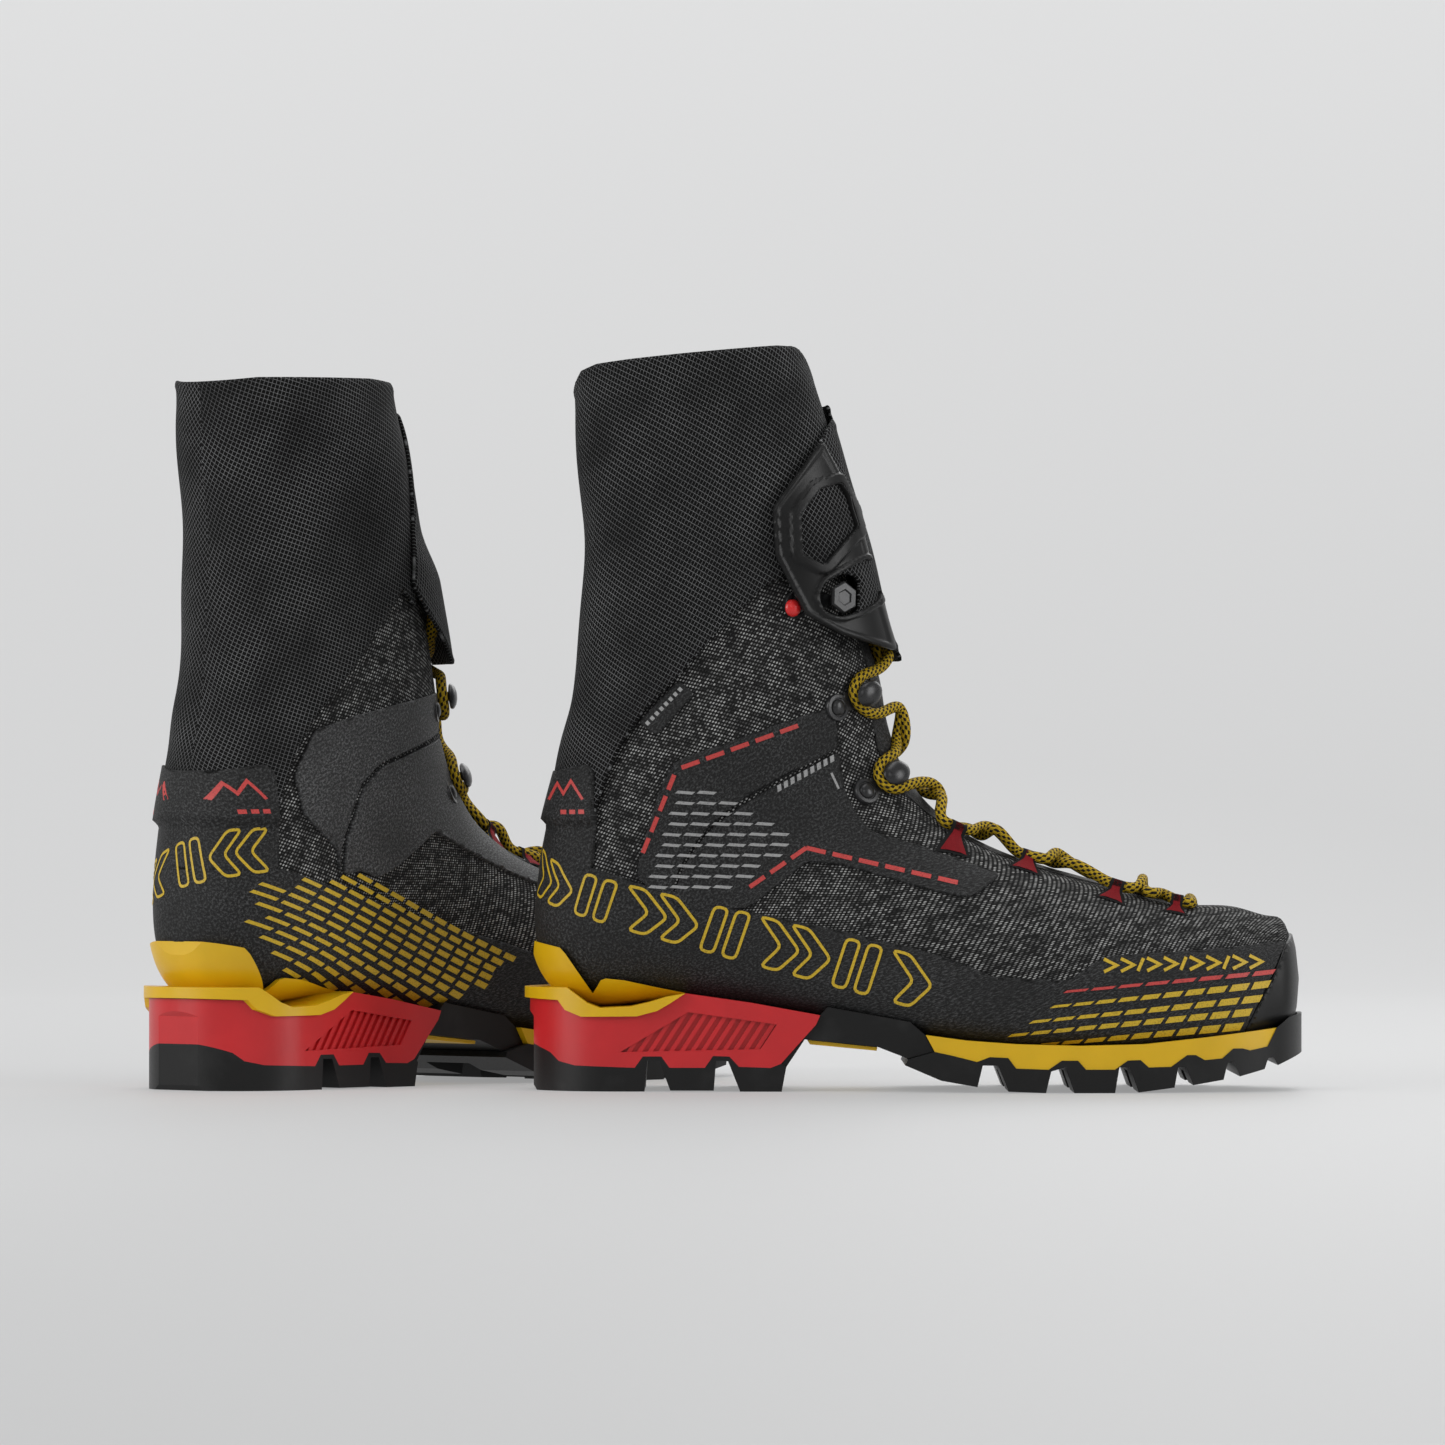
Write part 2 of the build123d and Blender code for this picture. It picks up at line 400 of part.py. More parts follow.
def build_boot():
    """Every node of the right boot, by name, in the boot's own frame."""
    skin, over = last(0.0), last(OVERLAY + GLUE)
    off_tongue = last(0.6 + GLUE)
    knit_shell = layer(-KNIT, 0.0)
    lining_shell = layer(-KNIT - GLUE - LINING, -KNIT - GLUE)
    over_shell = layer(GLUE, OVERLAY)
    gaiter_shell = layer(OVERLAY + GLUE, OVERLAY + GLUE + GAITER)
    tongue_shell = layer(-KNIT, 0.6)
    outer_half, inner_half = block(-50, 400, -90, 0, 0, 400), block(-50, 400, 0, 90, 0, 400)

    lower_line = notch_line(LOWER_SLOPE_BACK, LOWER_SLOPE_FRONT, -0.6)
    cuff_line = notch_line(CUFF_SLOPE_BACK, CUFF_SLOPE_FRONT, 0.6)
    below = side_prism(lower_line + [(340, lower_line[2][1]), (340, -20), (-40, -20)])
    above = side_prism(cuff_line + [(200, 330), (-40, 330)])
    notch = side_prism(notch_line(LOWER_SLOPE_BACK + 0.5, LOWER_SLOPE_FRONT + 0.5, -0.2)
                       + notch_line(CUFF_SLOPE_BACK - 0.5, CUFF_SLOPE_FRONT - 0.5, 0.2)[::-1])  # fmt: skip
    to_collar = side_prism([(-40, 0), (-40, COLLAR_TOP - 12), (0, COLLAR_TOP - 12), (140, COLLAR_TOP + 6),
                            (200, COLLAR_TOP + 6), (340, 100), (340, 0)])  # fmt: skip
    slot = throat(0.0)
    tongue = tongue_shell & throat(-0.6)

    boot = sole_unit(over)
    boot["footbed"] = last(-KNIT - 2 * GLUE - LINING) & side_prism(FOOTBED)
    boot["vamp_knit"] = (knit_shell & below) - slot
    boot["vamp_lining"] = lining_shell & below
    toe_zone, tab_zone = side_prism(RAND_BACK), side_prism(HEEL_TAB)
    boot["toe_rand"] = over_shell & toe_zone
    band = over_shell & side_prism(BAND_TOP + [(296.5, 5), (-10, 5), (-10, 84), (16, 84)])
    boot["side_band"] = band - toe_zone - tab_zone
    boot["quarter_panel"] = over_shell & side_prism(QUARTER) & below
    boot["heel_tab"] = over_shell & tab_zone & below & side_prism([(-10, 84.5), (60, 84.5), (60, 130), (-10, 130)])
    boot["tongue"] = tongue & below
    boot["lace_loops"] = Compound(children=[lace_loop(skin, over, i, side) for i in range(4) for side in (-1, 1)])
    boot["lower_hooks"] = Compound(children=[hook(skin, off_tongue, LOWER_HOOK, side) for side in (-1, 1)])
    boot["flex_gusset"] = (layer(-KNIT + 0.2, -0.2) & notch) - slot
    for name, shape in zip(("lace_lower", "lace_flex", "lace_upper"), laces(skin)):
        skins = [max((strand - off_tongue).shells(), key=lambda shell: shell.area) for strand in shape.solids()]
        boot[name] = Compound(children=[Solid(shell) for shell in skins])

    boot["collar_knit"] = (knit_shell & above & to_collar) - slot
    boot["collar_lining"] = lining_shell & above & to_collar
    boot["collar_panel"] = over_shell & side_prism(COLLAR_PANEL) & above
    boot["tongue_top"] = tongue & above & to_collar
    gaiter_zone = (side_prism(GAITER_OUTER) & outer_half) + (side_prism(GAITER_INNER) & inner_half)
    boot["gaiter"] = gaiter_shell & gaiter_zone & above
    boot["heel_tab_top"] = layer(GAITER + OVERLAY + 2 * GLUE, GAITER + 2 * OVERLAY + GLUE) & tab_zone & above
    spots = [(UPPER_HOOK, -1), (UPPER_HOOK, 1), (TOP_HOOK, -1)]
    boot["upper_hooks"] = Compound(children=[hook(skin, off_tongue, at, side) for at, side in spots])
    boot["fabric_label"] = over_shell & side_prism(LABEL) & outer_half

    rows = [(r[0] + f, *r[1:]) for r, f in zip(LAST[FLAP_FIRST_ROW:], FLAP_FORWARD)]
    flap_zone = (side_prism(FLAP_OUTER) & outer_half) + (side_prism(FLAP_INNER) & inner_half)
    stud = side_prism(STUD_WINDOW) & outer_half
    boot["front_flap"] = (last(FLAP_OUT, rows) & flap_zone) - last(FLAP_IN, rows) - stud
    tab = (last(TAB_OUT, rows) & side_prism(TAB) & outer_half) - last(TAB_IN, rows)
    boot["flap_tab"] = tab - stud - side_prism(PULL_WINDOW)
    return boot


def main():
    boot = build_boot()
    os.makedirs("parts", exist_ok=True)
    for name, shape in boot.items():
        right = solid_parts(shape)
        left = mirror(right, about=Plane.XZ)
        left = Pos(*LEFT_HEEL, 0) * Rot(0, 0, LEFT_TURN) * left
        export_step(Pos(*PAIR_SHIFT) * right, f"parts/right_{name}.step")
        export_step(Pos(*PAIR_SHIFT) * left, f"parts/left_{name}.step")


main()
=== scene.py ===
"""The look of the pair of mountaineering boots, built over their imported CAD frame.

Each soft or printed piece is shaped once, on the right boot, in millimetres: X from the back of the heel to the toe,
Y across with the outer side at -Y, Z up. The left boot is the mirror image, turned and set down behind the right one.
"""
import math

import bpy
import numpy as np
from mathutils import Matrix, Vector
from mathutils.bvhtree import BVHTree


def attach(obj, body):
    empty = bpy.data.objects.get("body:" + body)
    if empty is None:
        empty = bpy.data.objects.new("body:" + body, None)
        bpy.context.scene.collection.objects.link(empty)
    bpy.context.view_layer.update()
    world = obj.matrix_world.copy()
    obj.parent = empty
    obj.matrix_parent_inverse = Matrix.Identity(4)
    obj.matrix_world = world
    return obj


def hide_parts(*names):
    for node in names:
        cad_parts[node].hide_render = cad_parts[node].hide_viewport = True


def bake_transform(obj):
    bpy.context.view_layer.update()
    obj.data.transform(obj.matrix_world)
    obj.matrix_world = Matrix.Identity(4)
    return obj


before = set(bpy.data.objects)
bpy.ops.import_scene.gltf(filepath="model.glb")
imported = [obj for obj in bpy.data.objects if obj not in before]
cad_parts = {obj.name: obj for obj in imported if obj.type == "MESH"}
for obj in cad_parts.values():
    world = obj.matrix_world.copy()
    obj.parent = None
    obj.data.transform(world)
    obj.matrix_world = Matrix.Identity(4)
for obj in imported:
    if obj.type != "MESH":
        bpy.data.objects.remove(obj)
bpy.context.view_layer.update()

# ---------------------------------------------------------------- where the boots stand, as in the CAD
PAIR_SHIFT = (-77.8, -80.7)
LEFT_TURN = math.radians(48.0)
LEFT_HEEL = (-138.0, -23.5)
SIDES = ("right", "left")

# The last: each row is one cross-section, by its upper end (x, z), its lower end (x, z), the outer and inner y, how far
# up it is widest, and how square its lower and upper halves are.
LAST = np.array([
    (304, 51, 304, 36, -6, 17, 0.45, 2.2, 2.2),
    (301.5, 61, 302, 27.5, -17, 28, 0.42, 2.6, 2.2),
    (295, 68, 296, 22.5, -28, 36.5, 0.38, 3.2, 2.2),
    (281, 71.5, 282, 19.5, -39, 43, 0.34, 4, 2.3),
    (262, 72.5, 262, 17.5, -46, 46, 0.32, 4.5, 2.3),
    (240, 77, 240, 16, -51, 48, 0.3, 4.5, 2.2),
    (214, 84, 214, 15.5, -53, 47.5, 0.3, 4.5, 2.1),
    (190.5, 91.5, 186, 16.5, -51, 43.5, 0.3, 4.2, 2),
    (172, 100.5, 155, 21, -46.5, 38.5, 0.32, 4, 2),
    (161, 109, 122, 26.5, -41.5, 35.5, 0.34, 3.6, 2),
    (153.5, 117, 86, 32, -38.5, 35.5, 0.37, 3.2, 2),
    (148.5, 125, 48, 36, -37.5, 37, 0.4, 2.8, 2),
    (145, 133, 16.5, 39.5, -37.5, 37.5, 0.43, 2.5, 2),
    (142.5, 141, 6, 56, -38, 38, 0.45, 2.4, 2),
    (140.5, 150.5, 6, 83, -39.5, 38.5, 0.47, 2.3, 2),
    (138.5, 162.5, 10, 106, -40.5, 38, 0.48, 2.2, 2),
    (133.5, 178, 16.5, 131, -40, 37, 0.5, 2.2, 2.1),
    (129.5, 195, 21.5, 158, -39.5, 35, 0.5, 2.2, 2.2),
    (126, 214, 24.5, 190, -39, 33, 0.5, 2.2, 2.2),
    (121.5, 238, 25, 222, -38, 31, 0.5, 2.2, 2.2),
    (116.5, 262, 23, 254, -37.5, 29.5, 0.5, 2.2, 2.2),
    (107, 290, 21.5, 283.5, -37, 29, 0.5, 2.2, 2.2),
    (104, 298, 20.8, 291.5, -37, 28.8, 0.5, 2.2, 2.2),
])
FLAP_FORWARD = [0] * 13 + [4.0, 6.5, 7.5, 8.0, 7.5, 6.5, 3.5, 1.5, 0.5, 0.5]  # the flap's front stands this far off


# ---------------------------------------------------------------- the surface of the last
def natural_spline(knots, values, at):
    """A natural cubic spline through rows of values."""
    n = len(knots)
    h = np.diff(knots)
    a = np.eye(n)
    rhs = np.zeros_like(values)
    for i in range(1, n - 1):
        a[i, i - 1 : i + 2] = h[i - 1], 2 * (h[i - 1] + h[i]), h[i]
        rhs[i] = 6 * ((values[i + 1] - values[i]) / h[i] - (values[i] - values[i - 1]) / h[i - 1])
    curve = np.linalg.solve(a, rhs)
    k = np.clip(np.searchsorted(knots, at) - 1, 0, n - 2)
    left, right = (at - knots[k])[:, None], (knots[k + 1] - at)[:, None]
    step = h[k][:, None]
    return ((curve[k] * right**3 + curve[k + 1] * left**3) / (6 * step)
            + (values[k] / step - curve[k] * step / 6) * right
            + (values[k + 1] / step - curve[k + 1] * step / 6) * left)


class Shell:
    """A grid over the last: rows from the toe to the cuff, columns from the lower rail round by the outer side."""

    def __init__(self, along, around, forward=None, first=0, last=-1):
        rows = LAST.copy()
        if forward is not None:
            rows[:, 0] += forward
        middle = np.hypot(np.diff(rows[:, 0] + rows[:, 2]), np.diff(rows[:, 1] + rows[:, 3])) / 2
        knots = np.concatenate([[0], np.cumsum(middle)])
        self.row_at = np.linspace(knots[first], knots[last], along)
        rows = natural_spline(knots, rows, self.row_at)
        points = []
        for top_x, top_z, low_x, low_z, outer, inner, widest, low_square, top_square in rows:
            angle = np.linspace(0, math.pi, 361)
            low = angle < math.pi / 2
            square = np.where(low, low_square, top_square)
            up = np.abs(np.cos(angle)) ** (2 / square)
            up = np.where(low, widest * (1 - up), widest + (1 - widest) * up)
            across = np.abs(np.sin(angle)) ** (2 / square)
            half = (inner - outer) / 2
            x, z = low_x + (top_x - low_x) * up, low_z + (top_z - low_z) * up
            run = np.concatenate([[0], np.cumsum(np.sqrt(np.diff(x) ** 2 + np.diff(z) ** 2
                                                         + (half * np.diff(across)) ** 2))])
            even = np.linspace(0, run[-1], around)
            x, z, y = np.interp(even, run, x), np.interp(even, run, z), np.interp(even, run, across) * half
            middle_y = (outer + inner) / 2
            ring = np.stack([np.r_[x, x[-2::-1]], np.r_[middle_y - y, middle_y + y[-2::-1]], np.r_[z, z[-2::-1]]], 1)
            points.append(ring)
        self.points = np.array(points)
        if first == 0:  # the toe is closed
            middle = self.points[0].mean(axis=0)
            self.points[0] = middle + 0.03 * (self.points[0] - middle) + (0.5, 0, 0)
        self.columns = np.arange(2 * around - 1) / (around - 1)
        du = np.gradient(self.points, axis=1)
        du[:, 0] = du[:, -1] = self.points[:, 1] - self.points[:, -2]
        dv = np.gradient(self.points, axis=0)
        normal = np.cross(du, dv)
        self.normals = normal / np.linalg.norm(normal, axis=2, keepdims=True)
        steps = np.linalg.norm(np.diff(self.points, axis=1), axis=2)
        u = np.concatenate([np.zeros((along, 1)), np.cumsum(steps, axis=1)], axis=1)
        u = u - u[:, around - 1 : around]
        rise = np.linalg.norm(np.diff(self.points, axis=0), axis=2)
        v = np.concatenate([np.zeros((1, u.shape[1])), np.cumsum(rise, axis=0)])
        v = v - v[int(0.6 * along)]
        self.uv = np.stack([u, v], 2)


SKIN = Shell(330, 105)


def quads_of(rows, columns):
    """The four-cornered faces of a grid of points."""
    corners = [(j * columns + i, (j + 1) * columns + i) for j in range(rows - 1) for i in range(columns - 1)]
    return [(low, low + 1, high + 1, high) for low, high in corners]


SKIN_TREE = BVHTree.FromPolygons([Vector(p) for p in SKIN.points.reshape(-1, 3)], quads_of(*SKIN.points.shape[:2]))
HEEL_CENTRE_X, HEEL_RADIUS, TOE_CENTRE_X = 38.0, 37.0, 250.0


def hit(start, direction):
    """Where the last crossing of a ray with the skin is, and the outward normal there."""
    direction = Vector(direction).normalized()
    return hit_down(Vector(start) + direction * 400, direction)


def hit_down(start, up):
    """Where a ray from above meets the skin, and the outward normal there."""
    point, normal, _, _ = SKIN_TREE.ray_cast(Vector(start), -Vector(up))
    if point is None:
        return None, None
    return point, normal if normal.dot(Vector(up)) > 0 else -normal


def smooth(t):
    t = np.clip(t, 0, 1)
    return t * t * (3 - 2 * t)


def on_side(at, side, lift=0.0):
    """The surface at (x, z) on the outer (-1) or inner (1) side, lifted along its normal, and the normal."""
    point, normal = hit((at[0], 0, at[1]), (0, side, 0))
    return point + normal * lift, normal


def round_heel(along, z, lift=0.0):
    """The surface at x = along on the outer side; behind the heel's centre, along runs on round the heel and then
    forwards on the inner side."""
    cx, r = HEEL_CENTRE_X, HEEL_RADIUS
    turn = (cx - along) / r
    if turn <= 0:
        point, normal = hit((along, 0, z), (0, -1, 0))
    elif turn < math.pi:
        point, normal = hit((cx, 0, z), (-math.sin(turn), -math.cos(turn), 0))
    else:
        point, normal = hit((cx + r * (turn - math.pi), 0, z), (0, 1, 0))
    return point + normal * lift, normal


# ---------------------------------------------------------------- making objects
def placed(points, side):
    """Points of the right boot, in millimetres, as a side's points in metres."""
    p = np.array(points, float).reshape(-1, 3)
    if side == "left":
        x, y = p[:, 0], -p[:, 1]
        c, s = math.cos(LEFT_TURN), math.sin(LEFT_TURN)
        p = np.stack([LEFT_HEEL[0] + x * c - y * s, LEFT_HEEL[1] + x * s + y * c, p[:, 2]], 1)
    p = p + [PAIR_SHIFT[0], PAIR_SHIFT[1], 0]
    return p / 1000


FLAP_FOLD = ((109.5, 35.0, 191.0), (-3.0, 11.0))  # a point of the flap's fold, and where its bend starts and ends


def settle(obj, side, rides):
    """Makes a piece follow its body: boot, cuff or flap; a piece on the ankle or on the flap's fold is only baked in
    place, without a bend.
    """
    if rides == "ankle":
        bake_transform(obj)
    elif rides == "fold":
        here = np.array(FLAP_FOLD[0])
        across = np.array([0.0, -0.908, -0.42])
        start, end = placed([here + across * d for d in FLAP_FOLD[1]], side)
        tuple(start)
        tuple(end)
        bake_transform(obj)
    else:
        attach(obj, f"{side}_{rides}")


def add(name, vertices, faces, material, rides, uv=None, slot=None, replaces=(), sharp=None, sides=SIDES):
    """One piece for each boot, from a mesh on the right one. uv has one (u, v) for each corner, in millimetres."""
    made = []
    for side in sides:
        mesh = bpy.data.meshes.new(f"{side}_{name}_look")
        loops = faces if side == "right" else [f[::-1] for f in faces]
        mesh.from_pydata(placed(vertices, side).tolist(), [], loops)
        local = mesh.attributes.new("local", "FLOAT_VECTOR", "POINT")
        local.data.foreach_set("vector", np.array(vertices, np.float32).ravel())
        if uv is not None:
            corners = uv if side == "right" else [c[::-1] for c in uv]
            layer = mesh.uv_layers.new(name="cloth")
            layer.data.foreach_set("uv", np.array([p for c in corners for p in c], np.float32).ravel())
        mesh.polygons.foreach_set("use_smooth", [True] * len(mesh.polygons))
        if sharp:
            mesh.set_sharp_from_angle(angle=math.radians(sharp))
        mesh.materials.append(material)
        mesh.update()
        obj = bpy.data.objects.new(f"{side}_{name}_look", mesh)
        bpy.context.scene.collection.objects.link(obj)
        settle(obj, side, rides)
        if replaces:
            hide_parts(*[f"{side}_{node}" for node in replaces])
        made.append(obj)
    return made


class Mesh:
    """Vertices, faces and corner coordinates put together from several strips and patches."""

    def __init__(self):
        self.vertices, self.faces, self.uv = [], [], []

    def join(self, vertices, faces, uv=None):
        start = len(self.vertices)
        self.vertices += [tuple(v) for v in vertices]
        self.faces += [[start + i for i in f] for f in faces]
        self.uv += uv if uv is not None else [[(0.0, 0.0)] * len(f) for f in faces]

    def grid(self, points, uv=None):
        """A grid of points, rows by columns, with its own (u, v) at each point."""
        points = np.asarray(points, float)
        ny, nx = points.shape[:2]
        at = quads_of(ny, nx)
        flat = None
        if uv is not None:
            corner = np.asarray(uv, float).reshape(-1, 2)
            flat = [[tuple(corner[k]) for k in f] for f in at]
        self.join(points.reshape(-1, 3), at, flat)

    def add(self, name, material, rides, **more):
        return add(name, self.vertices, self.faces, material, rides, uv=self.uv, **more)


def outline_distance(x, z, outline):
    """Signed distance to a closed outline in side view, positive inside."""
    outline = np.array(outline, float)
    ends = np.roll(outline, -1, axis=0)
    best = np.full(x.shape, 1e9)
    inside = np.zeros(x.shape, bool)
    for (x0, z0), (x1, z1) in zip(outline, ends):
        dx, dz = x1 - x0, z1 - z0
        t = np.clip(((x - x0) * dx + (z - z0) * dz) / (dx * dx + dz * dz + 1e-9), 0, 1)
        best = np.minimum(best, np.hypot(x - x0 - t * dx, z - z0 - t * dz))
        crosses = (z0 > z) != (z1 > z)
        inside ^= crosses & (x < dx * (z - z0) / (dz if dz else 1e-9) + x0)
    return np.where(inside, best, -best)


def rounded(outline, radius=3.0, steps=5):
    """A closed outline with its corners rounded off."""
    pts = [np.array(p, float) for p in outline]
    out = []
    for i, here in enumerate(pts):
        a, b = pts[i - 1] - here, pts[(i + 1) % len(pts)] - here
        la, lb = np.linalg.norm(a), np.linalg.norm(b)
        cut = min(radius, 0.45 * la, 0.45 * lb)
        start, end = here + a / la * cut, here + b / lb * cut
        for k in range(steps + 1):
            t = k / steps
            out.append((1 - t) ** 2 * start + 2 * t * (1 - t) * here + t**2 * end)
    return out


def side_field(shell, outer=None, inner=None):
    """Distance inside an outline on the outer side and another on the inner side; None is nothing there."""
    x, y, z = shell.points[..., 0], shell.points[..., 1], shell.points[..., 2]
    is_outer = np.broadcast_to(shell.columns[None, :] <= 1.0, x.shape)
    nothing = np.full(x.shape, -50.0)
    a = outline_distance(x, z, outer) if outer is not None else nothing
    b = outline_distance(x, z, inner) if inner is not None else nothing
    return np.where(is_outer, a, b)


def patch(shell, field):
    """The part of a shell where field is positive, with a clean cut edge: corners, faces and grid ids."""
    ny, nx = field.shape
    ids = np.arange(ny * nx).reshape(ny, nx)
    value, inside = field.ravel(), (field > 0).ravel()
    cells = np.stack([ids[:-1, :-1], ids[:-1, 1:], ids[1:, 1:], ids[1:, :-1]], 2).reshape(-1, 4)
    count = inside[cells].sum(1)
    faces = cells[count == 4].tolist()
    mixed = []
    cuts = {}
    for loop in cells[(count > 0) & (count < 4)].tolist():
        face = []
        for a, b in zip(loop, loop[1:] + loop[:1]):
            if inside[a]:
                face.append(a)
            if inside[a] != inside[b]:
                key = (min(a, b), max(a, b))
                if key not in cuts:
                    cuts[key] = ny * nx + len(mixed)
                    t = value[key[0]] / (value[key[0]] - value[key[1]])
                    mixed.append((key[0], key[1], min(max(t, 0.02), 0.98)))
                face.append(cuts[key])
        if len(face) > 2:
            faces.append(face)
    a, b, t = np.array(mixed, float).reshape(-1, 3).T
    a, b, t = a.astype(int), b.astype(int), t[:, None]

    def through(array):
        array = array.reshape(ny * nx, -1)
        return np.vstack([array, array[a] * (1 - t) + array[b] * t])

    twin = np.arange(ny * nx + len(mixed))
    twin[ids[:, -1]] = ids[:, 0]
    for key, k in cuts.items():
        if key[0] % nx == nx - 1 and key[1] % nx == nx - 1:
            twin[k] = cuts.get((key[0] - nx + 1, key[1] - nx + 1), k)
    return faces, through, twin


def relief(shell, field, top, base, edge=0.6, closed=False):
    """A panel on a shell: its face at height top, an edge rounded with radius edge down to height base, and a back if
    it is closed. top and base are numbers or grids of numbers."""
    faces, through, twin = patch(shell, field)
    if not faces:
        return Mesh()
    points, normals, uv = through(shell.points), through(shell.normals), through(shell.uv)
    normals = normals / np.linalg.norm(normals, axis=1, keepdims=True)
    used = sorted({int(twin[i]) for f in faces for i in f})
    high, low = (through(np.broadcast_to(h, field.shape) + 0.0)[used, 0] for h in (top, base))
    index = {k: n for n, k in enumerate(used)}
    loops = [[index[int(twin[i])] for i in f] for f in faces]
    corners = [[tuple(uv[i]) for i in f] for f in faces]
    seen = {}
    for f, c in zip(loops, corners):
        for k in range(len(f)):
            seen[(f[k], f[(k + 1) % len(f)])] = (c[k], c[(k + 1) % len(c)])
    rim = [(e, c) for e, c in seen.items() if (e[1], e[0]) not in seen]
    face_points, face_normals = points[used], normals[used]
    out = np.zeros_like(face_points)
    for (i, j), _ in rim:
        away = np.cross(face_points[j] - face_points[i], face_normals[i])
        length = np.linalg.norm(away)
        if length > 1e-9:
            out[i] += away / length
            out[j] += away / length
    length = np.linalg.norm(out, axis=1, keepdims=True)
    out = np.where(length > 0.3, out / np.maximum(length, 1e-9), 0)
    mesh = Mesh()
    rim_ids = sorted({i for (e, _) in rim for i in e})
    is_rim = np.zeros(len(used), bool)
    is_rim[rim_ids] = True
    inset = np.where(is_rim, edge, 0)[:, None]
    mesh.join(face_points - out * inset + face_normals * high[:, None], loops, corners)
    place = {i: i for i in rim_ids}
    for turn in (math.pi / 4, math.pi / 2, None):  # two steps round the edge, then down to the base
        drop = np.minimum(edge, high - low) * (1 - math.cos(turn)) if turn else high - low
        turn = turn or math.pi / 2
        ring = face_points - out * (inset * (1 - math.sin(turn))) + face_normals * (high - drop)[:, None]
        start = len(mesh.vertices)
        mesh.vertices += [tuple(ring[i]) for i in rim_ids]
        new = {i: start + n for n, i in enumerate(rim_ids)}
        for (i, j), (ci, cj) in rim:
            mesh.faces.append([place[j], place[i], new[i], new[j]])
            mesh.uv.append([cj, ci, ci, cj])
        place = new
    if closed:
        start = len(mesh.vertices)
        mesh.vertices += [tuple(p) for p in face_points + face_normals * low[:, None]]
        mesh.faces += [[place.get(i, start + i) for i in f[::-1]] for f in loops]
        mesh.uv += [c[::-1] for c in corners]
    return mesh


# ---------------------------------------------------------------- materials
class Nodes:
    """A material and short ways to add its nodes."""

    def __init__(self, name, **sockets):
        self.material = bpy.data.materials.new(name)
        self.material.use_nodes = True
        self.tree = self.material.node_tree
        self.shader = self.tree.nodes["Principled BSDF"]
        for key, value in sockets.items():
            self.shader.inputs[key.replace("_", " ")].default_value = value

    def new(self, kind, inputs=None, **settings):
        node = self.tree.nodes.new(kind)
        for key, value in settings.items():
            setattr(node, key, value)
        for key, value in (inputs or {}).items():
            self.plug(value, node.inputs[key])
        return node

    def plug(self, value, socket):
        if isinstance(value, bpy.types.Node):
            value = next(o for o in value.outputs if o.enabled)
        if isinstance(value, bpy.types.NodeSocket):
            self.tree.links.new(value, socket)
        else:
            socket.default_value = value

    def __getattr__(self, operation):
        """n.multiply(a, b) and the like: a math node that does what it is called."""
        return lambda a, b=0.0, c=0.0: self.new("ShaderNodeMath", {0: a, 1: b, 2: c}, operation=operation.upper())

    def cloth_uv(self):
        """The piece's own coordinates in millimetres: both together, and each on its own."""
        uv = self.new("ShaderNodeUVMap", uv_map="cloth")
        return uv, *self.new("ShaderNodeSeparateXYZ", {0: uv}).outputs[:2]

    def local(self):
        """The place on the right boot, or its mirror image, in millimetres."""
        return self.new("ShaderNodeAttribute", attribute_name="local").outputs["Vector"]

    def noise(self, vector, scale, detail=2.0, roughness=0.5):
        return self.new("ShaderNodeTexNoise", {"Vector": vector, "Scale": scale, "Detail": detail,
                                               "Roughness": roughness}).outputs["Fac"]

    def ramp(self, factor, *stops):
        """A colour ramp from (position, grey or colour) stops."""
        node = self.new("ShaderNodeValToRGB", {"Fac": factor})
        elements = node.color_ramp.elements
        while len(elements) < len(stops):
            elements.new(0.5)
        for element, (at, colour) in zip(elements, stops):
            element.position = at
            element.color = (colour,) * 3 + (1,) if isinstance(colour, float) else (*colour, 1)
        return node.outputs["Color"]

    def mix(self, factor, a, b):
        """A colour mix of a and b."""
        node = self.new("ShaderNodeMix", data_type="RGBA")
        self.plug(factor, node.inputs["Factor"])
        for socket, value in ((node.inputs["A"], a), (node.inputs["B"], b)):
            if isinstance(value, tuple):
                value = (*value, 1)
            self.plug(value, [s for s in node.inputs if s.name == socket.name and s.type == "RGBA"][0])
        return [s for s in node.outputs if s.type == "RGBA"][0]

    def done(self, colour=None, roughness=None, height=None, depth=0.3, strength=0.6):
        """Connects colour, roughness and a bump of depth millimetres."""
        if colour is not None:
            self.plug(colour if not isinstance(colour, tuple) else (*colour, 1), self.shader.inputs["Base Color"])
        if roughness is not None:
            self.plug(roughness, self.shader.inputs["Roughness"])
        if height is not None:
            bump = self.new("ShaderNodeBump", {"Height": height, "Strength": strength, "Distance": depth / 1000})
            self.plug(bump, self.shader.inputs["Normal"])
        return self.material


def moulded(name, colour, roughness, grain=0.08, speck=0.12, worn=None, **sockets):
    """Moulded rubber or plastic: a fine grain, faint flow marks and soft dirt."""
    n = Nodes(name, **sockets)
    coordinates = n.new("ShaderNodeTexCoord").outputs["Object"]
    at = n.new("ShaderNodeVectorMath", {0: coordinates, 1: (1000, 1000, 1000)}, operation="MULTIPLY").outputs[0]
    fine, broad = n.noise(at, 2.2, 3), n.noise(at, 0.06, 4)
    dark = tuple(c * (1 - speck) for c in colour)
    light = worn or tuple(min(c * (1 + speck), 1) for c in colour)
    base = n.ramp(broad, (0.3, dark), (0.55, colour), (0.8, light))
    rough = n.ramp(fine, (0.3, roughness - 0.06), (0.7, roughness + 0.08))
    return n.done(base, rough, fine, depth=grain)


